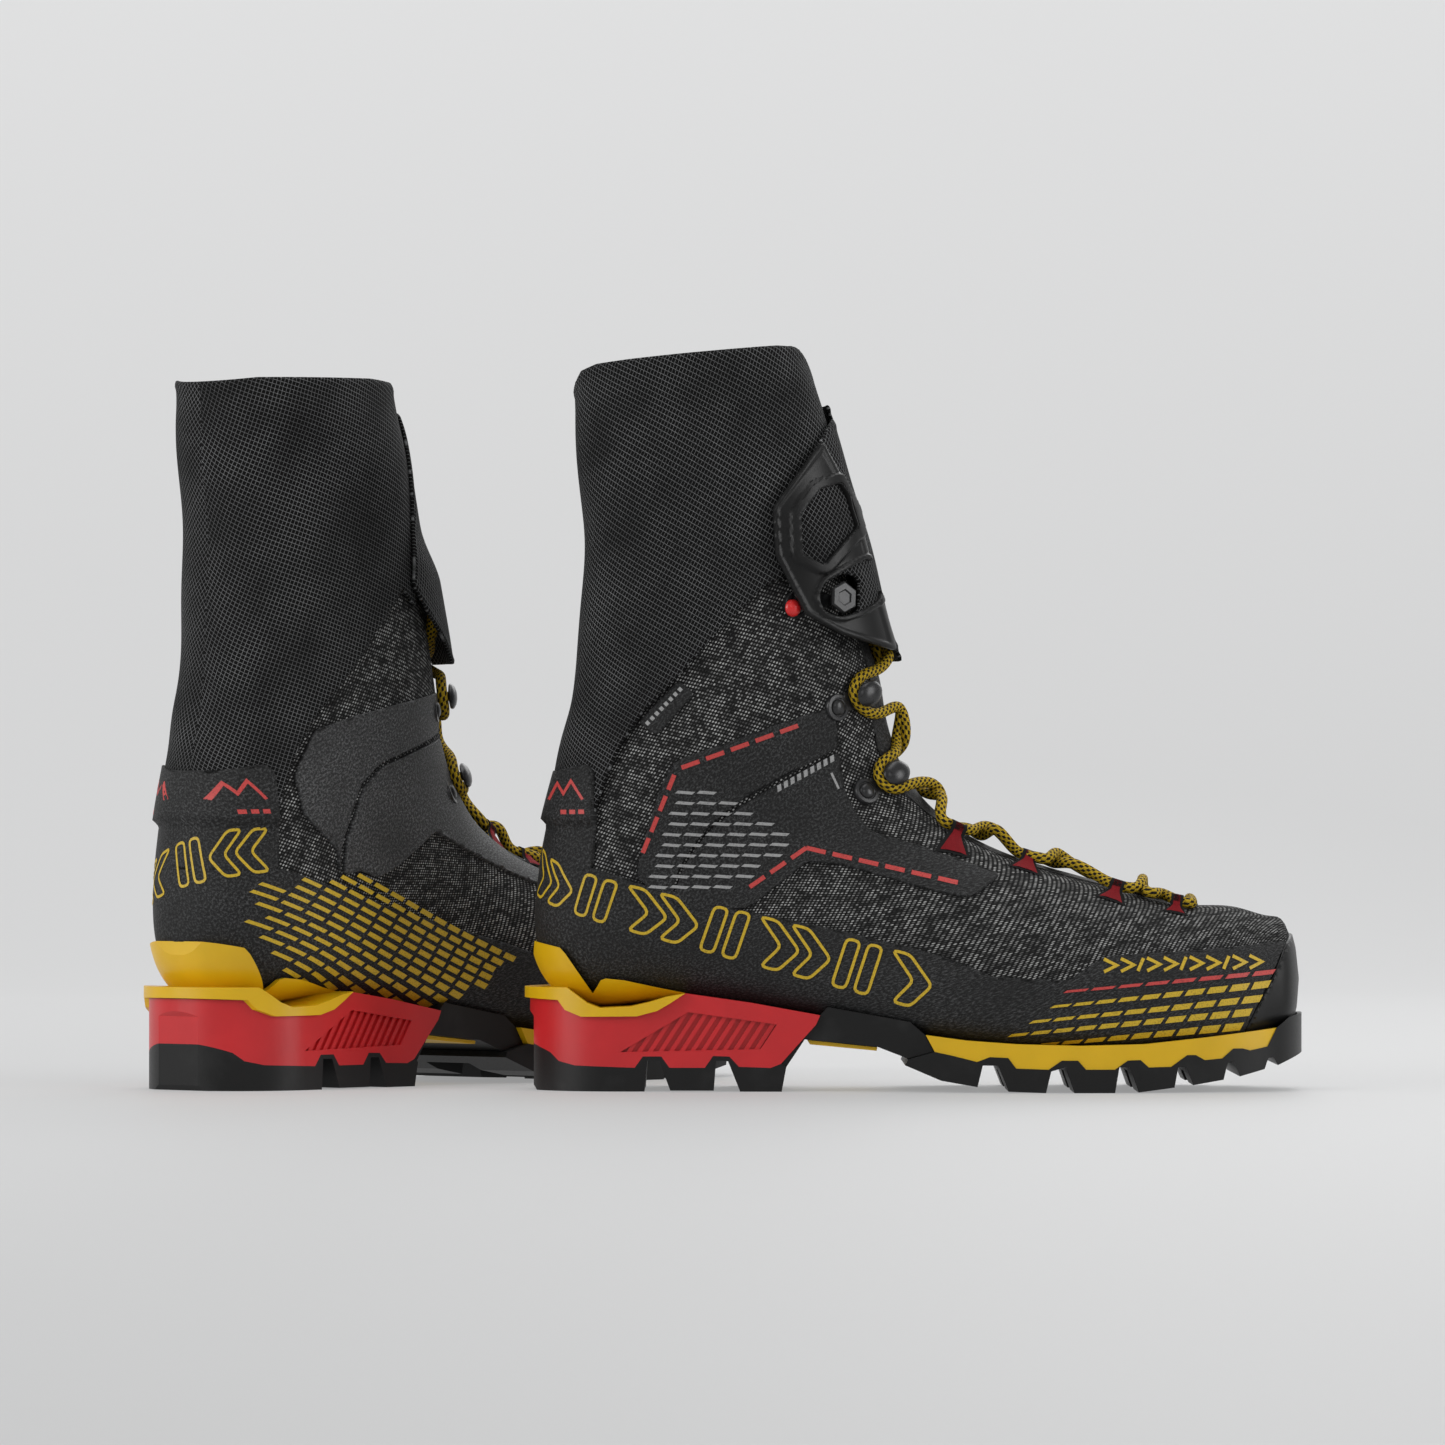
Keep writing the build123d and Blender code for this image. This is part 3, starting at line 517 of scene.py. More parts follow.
def knit(name):
    """A dense dark knit: staggered pale stitches that thin out in drifting patches."""
    n = Nodes(name, Roughness=0.9, Specular_IOR_Level=0.1)
    uv, u, v = n.cloth_uv()
    pitch_u, pitch_v = 2.1, 0.92
    rows = n.divide(v, pitch_v)
    row = n.floor(rows)
    wales = n.add(n.divide(u, pitch_u), n.fract(n.multiply(row, 0.5)))
    off_u = n.multiply(n.subtract(n.fract(wales), 0.5), pitch_u / 0.62)
    off_v = n.multiply(n.subtract(n.fract(rows), 0.5), pitch_v / 0.5)
    reach = n.sqrt(n.add(n.multiply(off_u, off_u), n.multiply(off_v, off_v)))
    dot = n.ramp(reach, (0.5, 1.0), (0.95, 0.0))
    stitch = n.new("ShaderNodeCombineXYZ", {0: n.floor(wales), 1: row})
    lone = n.ramp(n.new("ShaderNodeTexWhiteNoise", {"Vector": stitch}).outputs["Value"], (0.1, 0.1), (0.7, 1.0))
    patches = n.ramp(n.noise(uv, 0.15, 1), (0.36, 0.3), (0.58, 1.0))
    show = n.multiply(n.multiply(dot, lone), patches)
    thread = n.noise(uv, 1.6, 3)
    dark = n.ramp(thread, (0.3, (0.004, 0.004, 0.004)), (0.7, (0.022, 0.022, 0.022)))
    colour = n.mix(n.multiply(show, 0.85), dark, (0.55, 0.55, 0.54))
    return n.done(colour, None, n.add(dot, thread), depth=0.35, strength=0.8)


def cross_hatch(name):
    """The gaiter's cloth: black, with a fine grid of grey yarns crossing on the slant."""
    n = Nodes(name, Roughness=0.85, Specular_IOR_Level=0.1)
    uv, u, v = n.cloth_uv()
    cell = 2.15
    lines = []
    for slope in (0.72, -0.95):
        along = n.add(u, n.multiply(v, slope))
        phase = n.fract(n.divide(along, cell))
        ridge = n.absolute(n.subtract(phase, 0.5))
        lines.append(n.ramp(ridge, (0.01, 1.0), (0.095, 0.0)))
    yarn = n.maximum(lines[0], lines[1])
    grain, drift = n.noise(uv, 2.4, 3), n.noise(uv, 0.035, 2)
    show = n.multiply(yarn, n.ramp(grain, (0.3, 0.3), (0.7, 1.0)))
    show = n.multiply(show, n.ramp(drift, (0.3, 0.4), (0.7, 1.0)))
    colour = n.mix(show, n.ramp(grain, (0.3, (0.002, 0.002, 0.002)), (0.7, (0.009, 0.009, 0.009))),
                   (0.38, 0.385, 0.39))
    return n.done(colour, None, n.add(yarn, grain), depth=0.25, strength=0.7)


def suede(name, base=(0.007, 0.007, 0.007), light=(0.10, 0.101, 0.103)):
    """The welded microfibre overlays: a dark grain with paler tips."""
    n = Nodes(name, Roughness=0.6, Specular_IOR_Level=0.25)
    at, _, _ = n.cloth_uv()
    fine, broad = n.noise(at, 0.95, 4, 0.75), n.noise(at, 0.04, 3)
    tips = n.multiply(n.ramp(fine, (0.47, 0.0), (0.68, 1.0)), n.ramp(broad, (0.3, 0.45), (0.7, 1.0)))
    return n.done(n.mix(tips, base, light), None, fine, depth=0.4, strength=0.9)


def printed(name, colour):
    """Ink printed on the upper: a little broken up by the grain under it."""
    n = Nodes(name, Roughness=0.55)
    fine = n.noise(n.local(), 1.6, 3, 0.6)
    dark = tuple(c * 0.55 for c in colour)
    return n.done(n.ramp(fine, (0.32, dark), (0.5, colour)), None, fine, depth=0.1, strength=0.4)


def braid(name):
    """The lace: a round braid of golden yarns with black ones crossing them; u runs along it, v once round."""
    n = Nodes(name, Roughness=0.75, Specular_IOR_Level=0.2)
    _, u, v = n.cloth_uv()
    rows = n.multiply(v, 11.0)
    within, row = n.fract(rows), n.floor(rows)
    start = n.fract(n.multiply(row, 0.382))
    run = n.fract(n.add(n.divide(u, 3.0), n.add(start, n.multiply(v, 2.0))))
    beside_dash = n.absolute(n.subtract(within, 0.5))
    middle = n.absolute(n.subtract(run, 0.5))
    black = n.multiply(n.ramp(middle, (0.2, 1.0), (0.26, 0.0)), n.ramp(beside_dash, (0.38, 1.0), (0.47, 0.0)))
    fibre = n.noise(n.local(), 3.0, 3)
    gold = n.ramp(fibre, (0.3, (0.22, 0.13, 0.004)), (0.7, (0.66, 0.45, 0.02)))
    colour = n.mix(black, gold, (0.006, 0.006, 0.006))
    ridge_height = n.subtract(n.subtract(1.0, beside_dash), middle)
    return n.done(colour, None, n.add(ridge_height, fibre), depth=0.3, strength=0.8)


def tape(name, colour, dark):
    """Woven tape: fine ribs across it."""
    n = Nodes(name, Roughness=0.8, Specular_IOR_Level=0.2)
    at = n.local()
    rib = n.new("ShaderNodeTexWave", {"Vector": at, "Scale": 0.9, "Distortion": 0.6}).outputs["Fac"]
    fine = n.noise(at, 2.5, 3)
    colour = n.ramp(n.multiply(n.add(rib, fine), 0.5), (0.3, dark), (0.65, colour))
    return n.done(colour, None, n.add(rib, fine), depth=0.2, strength=0.6)


KNIT = knit("knit_black")
GAITER = cross_hatch("gaiter_cloth")
SUEDE = suede("overlay_black")
# The black overlay again in a lighter grey: a painted highlight for the inner side's panels, not a grey material.
SUEDE_PAINTED_HIGHLIGHT = suede("overlay_painted_highlight", (0.022, 0.022, 0.0225), (0.22, 0.222, 0.225))
LINING = suede("lining_cloth", (0.01, 0.01, 0.01), (0.04, 0.04, 0.04))
RUBBER = moulded("rubber_black", (0.008, 0.008, 0.008), 0.42, 0.06, worn=(0.018, 0.018, 0.018), Specular_IOR_Level=0.3)
SOFT_PLASTIC = {"Subsurface_Weight": 0.05, "Subsurface_Scale": 0.002}
RED = moulded("tpu_red", (0.56, 0.017, 0.021), 0.34, 0.03, 0.08, **SOFT_PLASTIC)
YELLOW = moulded("tpu_yellow", (0.72, 0.435, 0.003), 0.36, 0.03, 0.06, **SOFT_PLASTIC)
TAB = moulded("tab_black", (0.008, 0.008, 0.008), 0.36, 0.04, Specular_IOR_Level=0.25)
METAL = moulded("hook_metal", (0.03, 0.03, 0.031), 0.3, 0.02, Metallic=0.4)
LACE = braid("lace_cord")
WEBBING = tape("webbing_red", (0.30, 0.008, 0.014), (0.08, 0.002, 0.004))
INK_YELLOW = printed("print_yellow", (0.60, 0.40, 0.015))
INK_RED = printed("print_red", (0.55, 0.05, 0.045))
INK_WHITE = printed("print_white", (0.34, 0.34, 0.34))
RIVET_RED = moulded("rivet_red", (0.65, 0.02, 0.02), 0.3, grain=0.01)
FELT = suede("footbed_felt", (0.05, 0.05, 0.05), (0.16, 0.16, 0.16))


# ---------------------------------------------------------------- camera, floor and light
VIEW_WIDTH, DISTANCE, CAMERA_HEIGHT = 0.5702, 3.4, 0.112
RIGHT_Y = PAIR_SHIFT[1] / 1000
camera = bpy.data.objects.new("camera", bpy.data.cameras.new("camera"))
bpy.context.scene.collection.objects.link(camera)
camera.data.sensor_width = 36.0
camera.data.lens = 36.0 * DISTANCE / VIEW_WIDTH
camera.location = (0.0001, RIGHT_Y - DISTANCE, CAMERA_HEIGHT)
aim = Vector((0.0001, RIGHT_Y, 0.1444)) - camera.location
camera.rotation_euler = aim.to_track_quat("-Z", "Y").to_euler()
bpy.context.scene.camera = camera

for name, place, aim_at, size, power in (
    ("overhead", (0.1, 0.0, 1.5), (0, 0, 0.1), (1.3, 0.9), 9),
    ("left", (-1.7, -0.75, 0.75), (-0.1, 0, 0.12), (0.8, 1.1), 17),
    ("right", (1.8, -0.8, 0.7), (0.1, 0, 0.12), (0.8, 1.1), 14),
    ("front", (0.3, -2.4, 1.3), (0, 0, 0.1), (0.8, 0.6), 6),
    ("behind", (0.6, 1.4, 1.0), (0, 0, 0.2), (1.2, 0.8), 6),
):
    light = bpy.data.objects.new(name, bpy.data.lights.new(name, "AREA"))
    light.data.shape, light.data.size, light.data.size_y = "RECTANGLE", *size
    light.data.energy = power
    light.location = place
    light.rotation_euler = (Vector(aim_at) - light.location).to_track_quat("-Z", "Y").to_euler()
    bpy.context.scene.collection.objects.link(light)
world = bpy.data.worlds.new("studio")
world.use_nodes = True
world.node_tree.nodes["Background"].inputs["Color"].default_value = (0.83, 0.835, 0.84, 1)
world.node_tree.nodes["Background"].inputs["Strength"].default_value = 0.3
bpy.context.scene.world = world
bpy.context.scene.view_settings.view_transform = "Standard"

FLOOR = Nodes("floor", Roughness=0.6)
FLOOR.shader.inputs["Emission Color"].default_value = (0.955, 0.957, 0.958, 1)
place = FLOOR.new("ShaderNodeSeparateXYZ", {0: FLOOR.new("ShaderNodeNewGeometry").outputs["Position"]})
away = FLOOR.add(FLOOR.multiply(place.outputs["Y"], 0.25),
                  FLOOR.multiply(place.outputs["Z"], 0.5))
FLOOR.plug(FLOOR.multiply_add(FLOOR.ramp(away, (0.0, 0.0), (1.0, 1.0)), 0.31, 0.31),
           FLOOR.shader.inputs["Emission Strength"])
FLOOR.done((0.27, 0.272, 0.275))
sweep = [(-3.0, 0.0), (1.5, 0.0)]
sweep += [(1.5 + 1.2 * math.sin(a), 1.2 - 1.2 * math.cos(a)) for a in np.linspace(0.08, math.pi / 2, 20)]
sweep += [(2.7, 6.0)]
floor_mesh = bpy.data.meshes.new("floor")
floor_mesh.from_pydata([(x, y, z) for y, z in sweep for x in (-6, 6)], [], quads_of(len(sweep), 2))
floor_mesh.polygons.foreach_set("use_smooth", [True] * len(floor_mesh.polygons))
floor_mesh.materials.append(FLOOR.material)
floor = bpy.data.objects.new("floor", floor_mesh)
bpy.context.scene.collection.objects.link(floor)


# ---------------------------------------------------------------- the hard parts, kept from the CAD
def keep(node, material, bevel):
    """Gives a CAD node its material on both boots, and softens its edges."""
    for side in SIDES:
        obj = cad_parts[f"{side}_{node}"]
        obj.data.materials.clear()
        obj.data.materials.append(material)
        if bevel:
            modifier = obj.modifiers.new("edges", "BEVEL")
            modifier.width, modifier.segments = bevel, 2
            modifier.limit_method, modifier.angle_limit = "ANGLE", math.radians(35)


for node, material, bevel in (
    ("heel_outsole", RUBBER, 0.0008), ("forefoot_outsole", RUBBER, 0.0008), ("arch_bridge", RUBBER, 0.0015),
    ("heel_block", RED, 0.0009), ("heel_ledge", YELLOW, 0.0007), ("forefoot_midsole", YELLOW, 0.0006),
    ("footbed", FELT, 0),
):
    keep(node, material, bevel)

# ---------------------------------------------------------------- the upper's skin
x, y, z = (SKIN.points[..., k] for k in range(3))
COLLAR_TOP = 193 + 18 * x / 140
THROAT = ((105, 12.0), (150, 12.0), (190, 11.0), (235, 8.0), (262, 3.0), (268, -4.0))
throat_half = np.interp(x, *zip(*THROAT))
in_throat = np.where((z > 60) & (x > 100), throat_half - np.abs(y), -20.0)
below_collar = COLLAR_TOP - z
knit_field = np.minimum(below_collar, -in_throat)
relief(SKIN, knit_field, 0.0, -1.6, edge=0.8).add(
    "knit", KNIT, "ankle", slot="knit_black", replaces=("vamp_knit", "collar_knit", "flex_gusset")
)
relief(SKIN, below_collar, -1.7, -4.2, edge=1.2, closed=True).add(
    "lining", LINING, "ankle", slot="lining_cloth", replaces=("vamp_lining", "collar_lining")
)
tongue_high = 0.3 + 0.9 * np.clip(1 - np.abs(y) / 11, 0, 1)
tongues = relief(SKIN, np.minimum(in_throat + 1.5, below_collar + 4), tongue_high, -1.6, edge=1.2, closed=True).add(
    "tongue", SUEDE, "ankle", slot="overlay_black", replaces=("tongue", "tongue_top")
)
for obj in tongues:
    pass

# ---------------------------------------------------------------- rubber and overlays
def panel(name, material, field, top, base=-0.3, edge=0.5, rides="ankle", slot="overlay_black", replaces=None):
    """A piece laid on the skin where field is positive, in place of the CAD nodes named, or of its own namesake."""
    nodes = (name,) if replaces is None else replaces
    relief(SKIN, field, top, base, edge).add(name, material, rides, slot=slot, replaces=nodes)


TOE_EDGE = [(279, 8), (281.1, 23.7), (292.7, 44.6), (298, 57), (303, 63), (330, 70), (330, 8)]
panel("toe_rand", RUBBER, side_field(SKIN, TOE_EDGE, TOE_EDGE), 1.15, edge=0.7, rides="boot", slot="rubber_black")
BAND_TOP = [(18, 90), (45.7, 81.6), (77, 73.4), (85, 71.1), (123.3, 63), (152.2, 56.1), (171.7, 50.3), (182.7, 45.1),
            (200, 44), (212.8, 44), (222, 50.3), (229, 53.2), (263.8, 55), (299, 58.4), (281.1, 23.7),
            (279, 8)]
BAND = BAND_TOP + [(-10, 8), (-10, 90)]
panel("side_band", SUEDE, side_field(SKIN, BAND, BAND), 0.9)
QUARTER = [(57.9, 71.2), (61.9, 86.2), (67.7, 95.5), (74.6, 103.6), (85, 111.7), (97.8, 119.2), (123.3, 133.2),
           (125.5, 118), (130.2, 108.2), (136, 101.3), (152.2, 96.6), (171.7, 89.7), (187, 84.5), (175, 75.2),
           (159.6, 78.2), (123.3, 88.8), (111, 89.5), (88.4, 72.0), (77, 70)]
panel("quarter_panel", SUEDE, side_field(SKIN, rounded(QUARTER, 3)), 1.0)
COLLAR_PANEL = [(56.8, 71.5), (44, 84), (46.5, 95), (53, 116.5), (57.5, 127), (62, 130), (107, 146), (121, 150.5),
                (123.5, 134.6), (97.2, 120.4), (84, 112.8), (73.4, 104.6), (66.5, 96.4), (60.6, 86.8)]
panel("collar_panel", SUEDE, side_field(SKIN, rounded(COLLAR_PANEL, 3)), 1.0)

# ---------------------------------------------------------------- gaiter and flap
def cut_size(shell, field):
    """The width, length and area, in metres, of the cloth where field is positive."""
    inside = (field[:-1, :-1] > 0) & (field[1:, 1:] > 0)
    across, along = np.diff(shell.points, axis=1)[:-1], np.diff(shell.points, axis=0)[:, :-1]
    width = (np.linalg.norm(across, axis=2) * inside).sum(axis=1).max()
    length = (np.linalg.norm(along, axis=2) * inside).sum(axis=0).max()
    area = (np.linalg.norm(np.cross(across, along), axis=2) * inside).sum()
    return (float(width) / 1000, float(length) / 1000), float(area) / 1e6


def declare_sheet(made, shell, field):
    flat, area = cut_size(shell, field)
    for obj in made:
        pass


HEM = [(28.0, 106.0), (33, 121), (38.8, 134.8), (48, 148.7), (60, 160.9), (75.5, 178.6),
       (94.4, 197.4), (102, 200.5)]
GAITER_OUTER = HEM + [(106, 226), (117, 255), (121.6, 264), (140, 330), (-20, 330), (-20, 106)]
GAITER_INNER = HEM[:-1] + [(103, 190), (119.5, 260), (140, 330), (-20, 330), (-20, 106)]
TOP_OUTER = ((19, 268), (22, 278), (24.5, 282.6), (30, 284.8), (42, 286.2), (64.5, 288.4), (98, 291.4), (104, 291.2),
             (108, 289.4), (111.5, 285), (114, 277), (118, 262))
TOP_INNER = ((19, 262), (22, 272), (25, 277.6), (32, 281), (45, 284), (64.5, 285.6), (84, 285), (96, 283), (104, 280.4),
             (110, 276.5), (114, 270), (118, 258))
TOP_LEFT = ((16, 276.5), (20, 278.6), (30, 280.2), (80, 280.9), (100, 279.8), (106, 278.4), (110, 275.5), (114, 269),
            (118, 258))
HEM_TO_EDGE, BEAD = 1.6, 1.1  # the stitched bead's distance from the cloth's edge, and its width
inward = smooth((y + 16) / 32)
top_lines = {"right": (1 - inward) * np.interp(x, *zip(*TOP_OUTER)) + inward * np.interp(x, *zip(*TOP_INNER)),
             "left": np.interp(x, *zip(*TOP_LEFT))}
for side, top_line in top_lines.items():
    gaiter_field = np.minimum(side_field(SKIN, GAITER_OUTER, GAITER_INNER), 0.8 * (top_line - z))
    hem_bead = 0.45 * np.exp(-(((gaiter_field - HEM_TO_EDGE) / BEAD) ** 2))
    slack = 0.9 * np.sin(z / 13 + x / 23 + 0.6 * np.sin(y / 11)) * np.sin(z / 31 + y / 17 + 1)
    slack = slack * smooth(gaiter_field / 14)
    slack += 0.5 * np.sin(z / 6.1 - x / 14 + y / 9) * smooth(gaiter_field / 20) * smooth((150 - z) / 30 + 0.5)
    gaiters = relief(SKIN, gaiter_field, 2.5 + slack + hem_bead, 1.4 + slack, edge=0.5, closed=True).add(
        "gaiter", GAITER, "ankle", slot="gaiter_cloth", replaces=("gaiter",), sides=(side,)
    )
    declare_sheet(gaiters, SKIN, gaiter_field)
FLAP = Shell(300, 221, FLAP_FORWARD, 14, 21)
on_skin = Shell(300, 221, None, 14, 21)
near_fold = smooth((FLAP.points[:, :, 1:2] - 4) / 14) * smooth((FLAP.points[:, :, 2:3] - 200) / 24)
FLAP.points = FLAP.points * (1 - near_fold) + on_skin.points * near_fold
FLAP.normals = FLAP.normals * (1 - near_fold) + on_skin.normals * near_fold
FLAP_OUTER = [(97.8, 227.5), (98.4, 208.8), (104.4, 195), (109.9, 186.6), (122.3, 179.4), (141, 172.6),
              (160, 166), (160, 266), (118.5, 264), (112.7, 252)]
FLAP_INNER = [(99, 199), (109, 187), (131, 168), (142, 168), (160, 166), (160, 272), (112, 268), (106, 232)]
STUD_WINDOW = [(130.8, 207.9), (134.4, 204.6), (135.6, 193.1), (134.4, 190.7), (128.4, 187.1), (121.7, 184.9),
               (115.7, 187), (113.5, 193), (115.7, 198.6)]
window = side_field(FLAP, rounded(STUD_WINDOW, 2.5))
STUD_HOLE = [(124, 202.5), (128.5, 200), (128.5, 187.2), (121.7, 184.9), (115.7, 187), (113.5, 193), (115.7, 198.6)]
stud_hole = side_field(FLAP, rounded(STUD_HOLE, 2.0))
flap_field = np.minimum(side_field(FLAP, rounded(FLAP_OUTER, 2), rounded(FLAP_INNER, 2)), -stud_hole)
flap_bead = 0.4 * np.exp(-(((flap_field - HEM_TO_EDGE) / BEAD) ** 2))
flaps = relief(FLAP, flap_field, 4.0 + flap_bead, 2.9, edge=0.5, closed=True).add(
    "front_flap", GAITER, "fold", slot="gaiter_cloth", replaces=("front_flap",)
)
declare_sheet(flaps, FLAP, flap_field)
TAB_EDGE = [(113.6, 253.6), (96.4, 227.5), (97.6, 208.8), (104.8, 194.4), (109, 185.9), (121.7, 178.6), (142.3, 171.3),
            (135.5, 194.9), (131.4, 208.8), (126.6, 227.5), (118.7, 243.8)]
PULL_WINDOW = [(113, 234.5), (119.9, 236.9), (122.9, 231.8), (126.6, 219.7), (115.1, 205.2), (107.5, 209.4),
               (106.6, 224.5)]
pull = side_field(FLAP, rounded(PULL_WINDOW, 1.3))
tab_edge = side_field(FLAP, rounded(TAB_EDGE, 2))
tab_field = np.minimum(np.minimum(tab_edge, -window), -pull)


def rib(distance, start, end, ramp=0.7):
    """1 between two distances from an edge, falling off to 0 over a ramp."""
    return np.clip(np.minimum(distance - start, end - distance) / ramp + 1, 0, 1)


frames = 0.6 * rib(tab_edge, 0.6, 1.6) + 1.4 * rib(-pull, 0.4, 3.4, 0.9) + 0.9 * rib(-window, 0.4, 1.5)
relief(FLAP, tab_field, 4.9 + np.minimum(frames, 1.5), 4.0, edge=0.35, closed=True).add(
    "flap_tab", TAB, "flap", slot="tab_black", replaces=("flap_tab",), sharp=28
)

# ---------------------------------------------------------------- heel tab and label
HEEL_TAB = [(-20, 86), (27.5, 86), (29, 108), (29.5, 124), (27, 127.5), (16, 124.5), (-20, 124.5)]
tab_high = np.interp(z, (84, 103.8, 105.2), (1.0, 1.0, 3.9))
heel_field = side_field(SKIN, rounded(HEEL_TAB, 3), rounded(HEEL_TAB, 3))
panel("heel_tab", SUEDE, heel_field, tab_high, 0.2, edge=0.6, replaces=("heel_tab", "heel_tab_top"))
LABEL = [(60.6, 160.4), (66.9, 155.4), (52.3, 138.9), (45.2, 144)]
panel("fabric_label", SUEDE, side_field(SKIN, rounded(LABEL, 1)), 1.0, -0.2, edge=0.3, slot="label_cloth")


# ---------------------------------------------------------------- laces, loops and hooks
def unit(v):
    v = np.array(v, float)
    return v / np.linalg.norm(v)


def frame_from(origin, along, up):
    """Rows: x along, y across, z up; and the origin."""
    up = unit(up)
    along = unit(np.array(along) - up * np.dot(along, up))
    return np.array([along, np.cross(up, along), up]), np.array(origin)


def in_frame(place, points):
    axes, origin = place
    return origin + np.asarray(points, float) @ axes


def tube(mesh, points, radius):
    """A round cord that runs smoothly through points, with (length, turn) coordinates."""
    around, step = 14, 0.9
    points = np.array([tuple(p) for p in points])
    runs = np.linalg.norm(np.diff(points, axis=0), axis=1)
    knots = np.concatenate([[0], np.cumsum(runs**0.75)])
    fine = natural_spline(knots, points, np.linspace(0, knots[-1], 60 * len(points)))
    run = np.concatenate([[0], np.cumsum(np.linalg.norm(np.diff(fine, axis=0), axis=1))])
    even = np.linspace(0, run[-1], int(run[-1] / step))
    line = np.stack([np.interp(even, run, fine[:, k]) for k in range(3)], 1)
    tangent = np.gradient(line, axis=0)
    tangent /= np.linalg.norm(tangent, axis=1, keepdims=True)
    side = unit(np.cross(tangent[0], (0.3, 0.2, 1)))
    rings, uv = [], []
    for p, t, at in zip(line, tangent, even):
        side = unit(side - t * side.dot(t))
        other = np.cross(t, side)
        turn = np.linspace(0, 2 * math.pi, around + 1)
        grow = radius * min(1.0, 0.55 + 0.5 * min(at, run[-1] - at) / radius)
        rings.append(p + grow * (np.cos(turn)[:, None] * side + np.sin(turn)[:, None] * other))
        uv.append(np.stack([np.full(around + 1, at), turn / (2 * math.pi)], 1))
    mesh.grid(rings, uv)
    for ring, centre, order in ((rings[0], line[0], 1), (rings[-1], line[-1], -1)):
        mesh.join([*ring[:around], centre], [[around, k, (k + 1) % around][::order] for k in range(around)])


def ridge(at, lift):
    """The throat's centre line at x below the ankle or at z above it."""
    x, z = at
    ahead = (1, 0, 0) if z > 125 else (0, 0, 1)
    point, normal = hit((x - 30, 0, z) if z > 125 else (x, 0, 20), ahead)
    return np.array(point) + unit((normal.x, 0, normal.z)) * lift


def beside(x, z, side, lift):
    """A point on one side of the throat; over the top of the ridge, the nearest one below it, raised."""
    low = z
    while hit((x, 0, low), (0, side, 0))[0] is None:
        low -= 0.5
    return np.array(on_side((x, low), side, lift)[0]) + (0, 0, z - low)


LACE_R = 2.15
LOOPS = ((255.5, 71.4), (232.0, 77.2), (197.8, 88.6), (168.6, 100.2))
CROSSINGS = ((242, 76), (207.5, 90), (178, 105), (156.5, 121))  # between the loops, and from the last one to the hooks
LOW, HIGH = 3.5, 7.4
STRAP_LENGTHS = (6.5, 9.5, 12.0, 12.8)


def strand(i, side, lift):
    """Up from the rear of loop i on one side, over the ridge, to the front of the next loop on the other side."""
    (x0, z0), (x1, z1), (xc, zc) = LOOPS[i], LOOPS[i + 1], CROSSINGS[i]
    points = [beside(x0, z0 + 0.4, side, 3.0), beside(x0 - 5.5, z0 + 2.6, side, 3.1)]
    rise = beside(xc + 0.42 * (x0 - 5.5 - xc), z0 + 0.66 * (zc - z0) - 0.5, side, 3.6)
    points += [rise, ridge((xc, zc), lift), beside(x1 + 6, z1 - 1.0, -side, 3.2)]
    return points


# The lace's run round each hook, from below, and its tail up the inner side: (x, z, height over the upper).
LOW_HOOK = ((148.6, 117.6, 3.8), (143, 117, 3), (138.2, 121.2, 2.8), (138.4, 127, 2.8), (142.6, 130.8, 3.2))
HIGH_HOOK = ((144.6, 148.6, 3.6), (138.5, 148.2, 3), (131, 149.6, 2.8), (127.6, 156, 2.8), (130, 161.6, 2.9),
             (135.6, 164.2, 3.3))
LACE_TAIL = ((131, 178, 3.4), (124, 187, 3.4), (117, 192, 4.2))


lace = Mesh()
for first, heights in ((-1, (3.0, HIGH, LOW, HIGH)), (1, (6.4, LOW, HIGH, LOW))):
    path = [ridge((262, 72), 2.7 if first == -1 else 2.71)] + [beside(259.5, 70.9, first, 2.8)]
    side = first
    for i in range(3):
        path += strand(i, side, heights[i])
        side = -side
    x3, z3 = LOOPS[3]
    path += [beside(x3, z3 + 0.6, side, 3.0), beside(162.6, 104.0, side, 3.2), beside(161.2, 111.5, side, 4.6)]
    path += [ridge(CROSSINGS[3], heights[3] + 0.8)]
    path += [beside(x, z, -side, h) for x, z, h in LOW_HOOK] + [ridge((149, 138), LOW if first == -1 else HIGH - 0.4)]
    path += [beside(x, z, side, h) for x, z, h in HIGH_HOOK] + [ridge((142, 169.5), LOW if first == -1 else 7.2)]
    path += [beside(x, z, 1, h) for x, z, h in LACE_TAIL]
    tube(lace, path, LACE_R)
lace.add("lace", LACE, "ankle", slot="lace_cord", replaces=("lace_lower", "lace_flex", "lace_upper"))

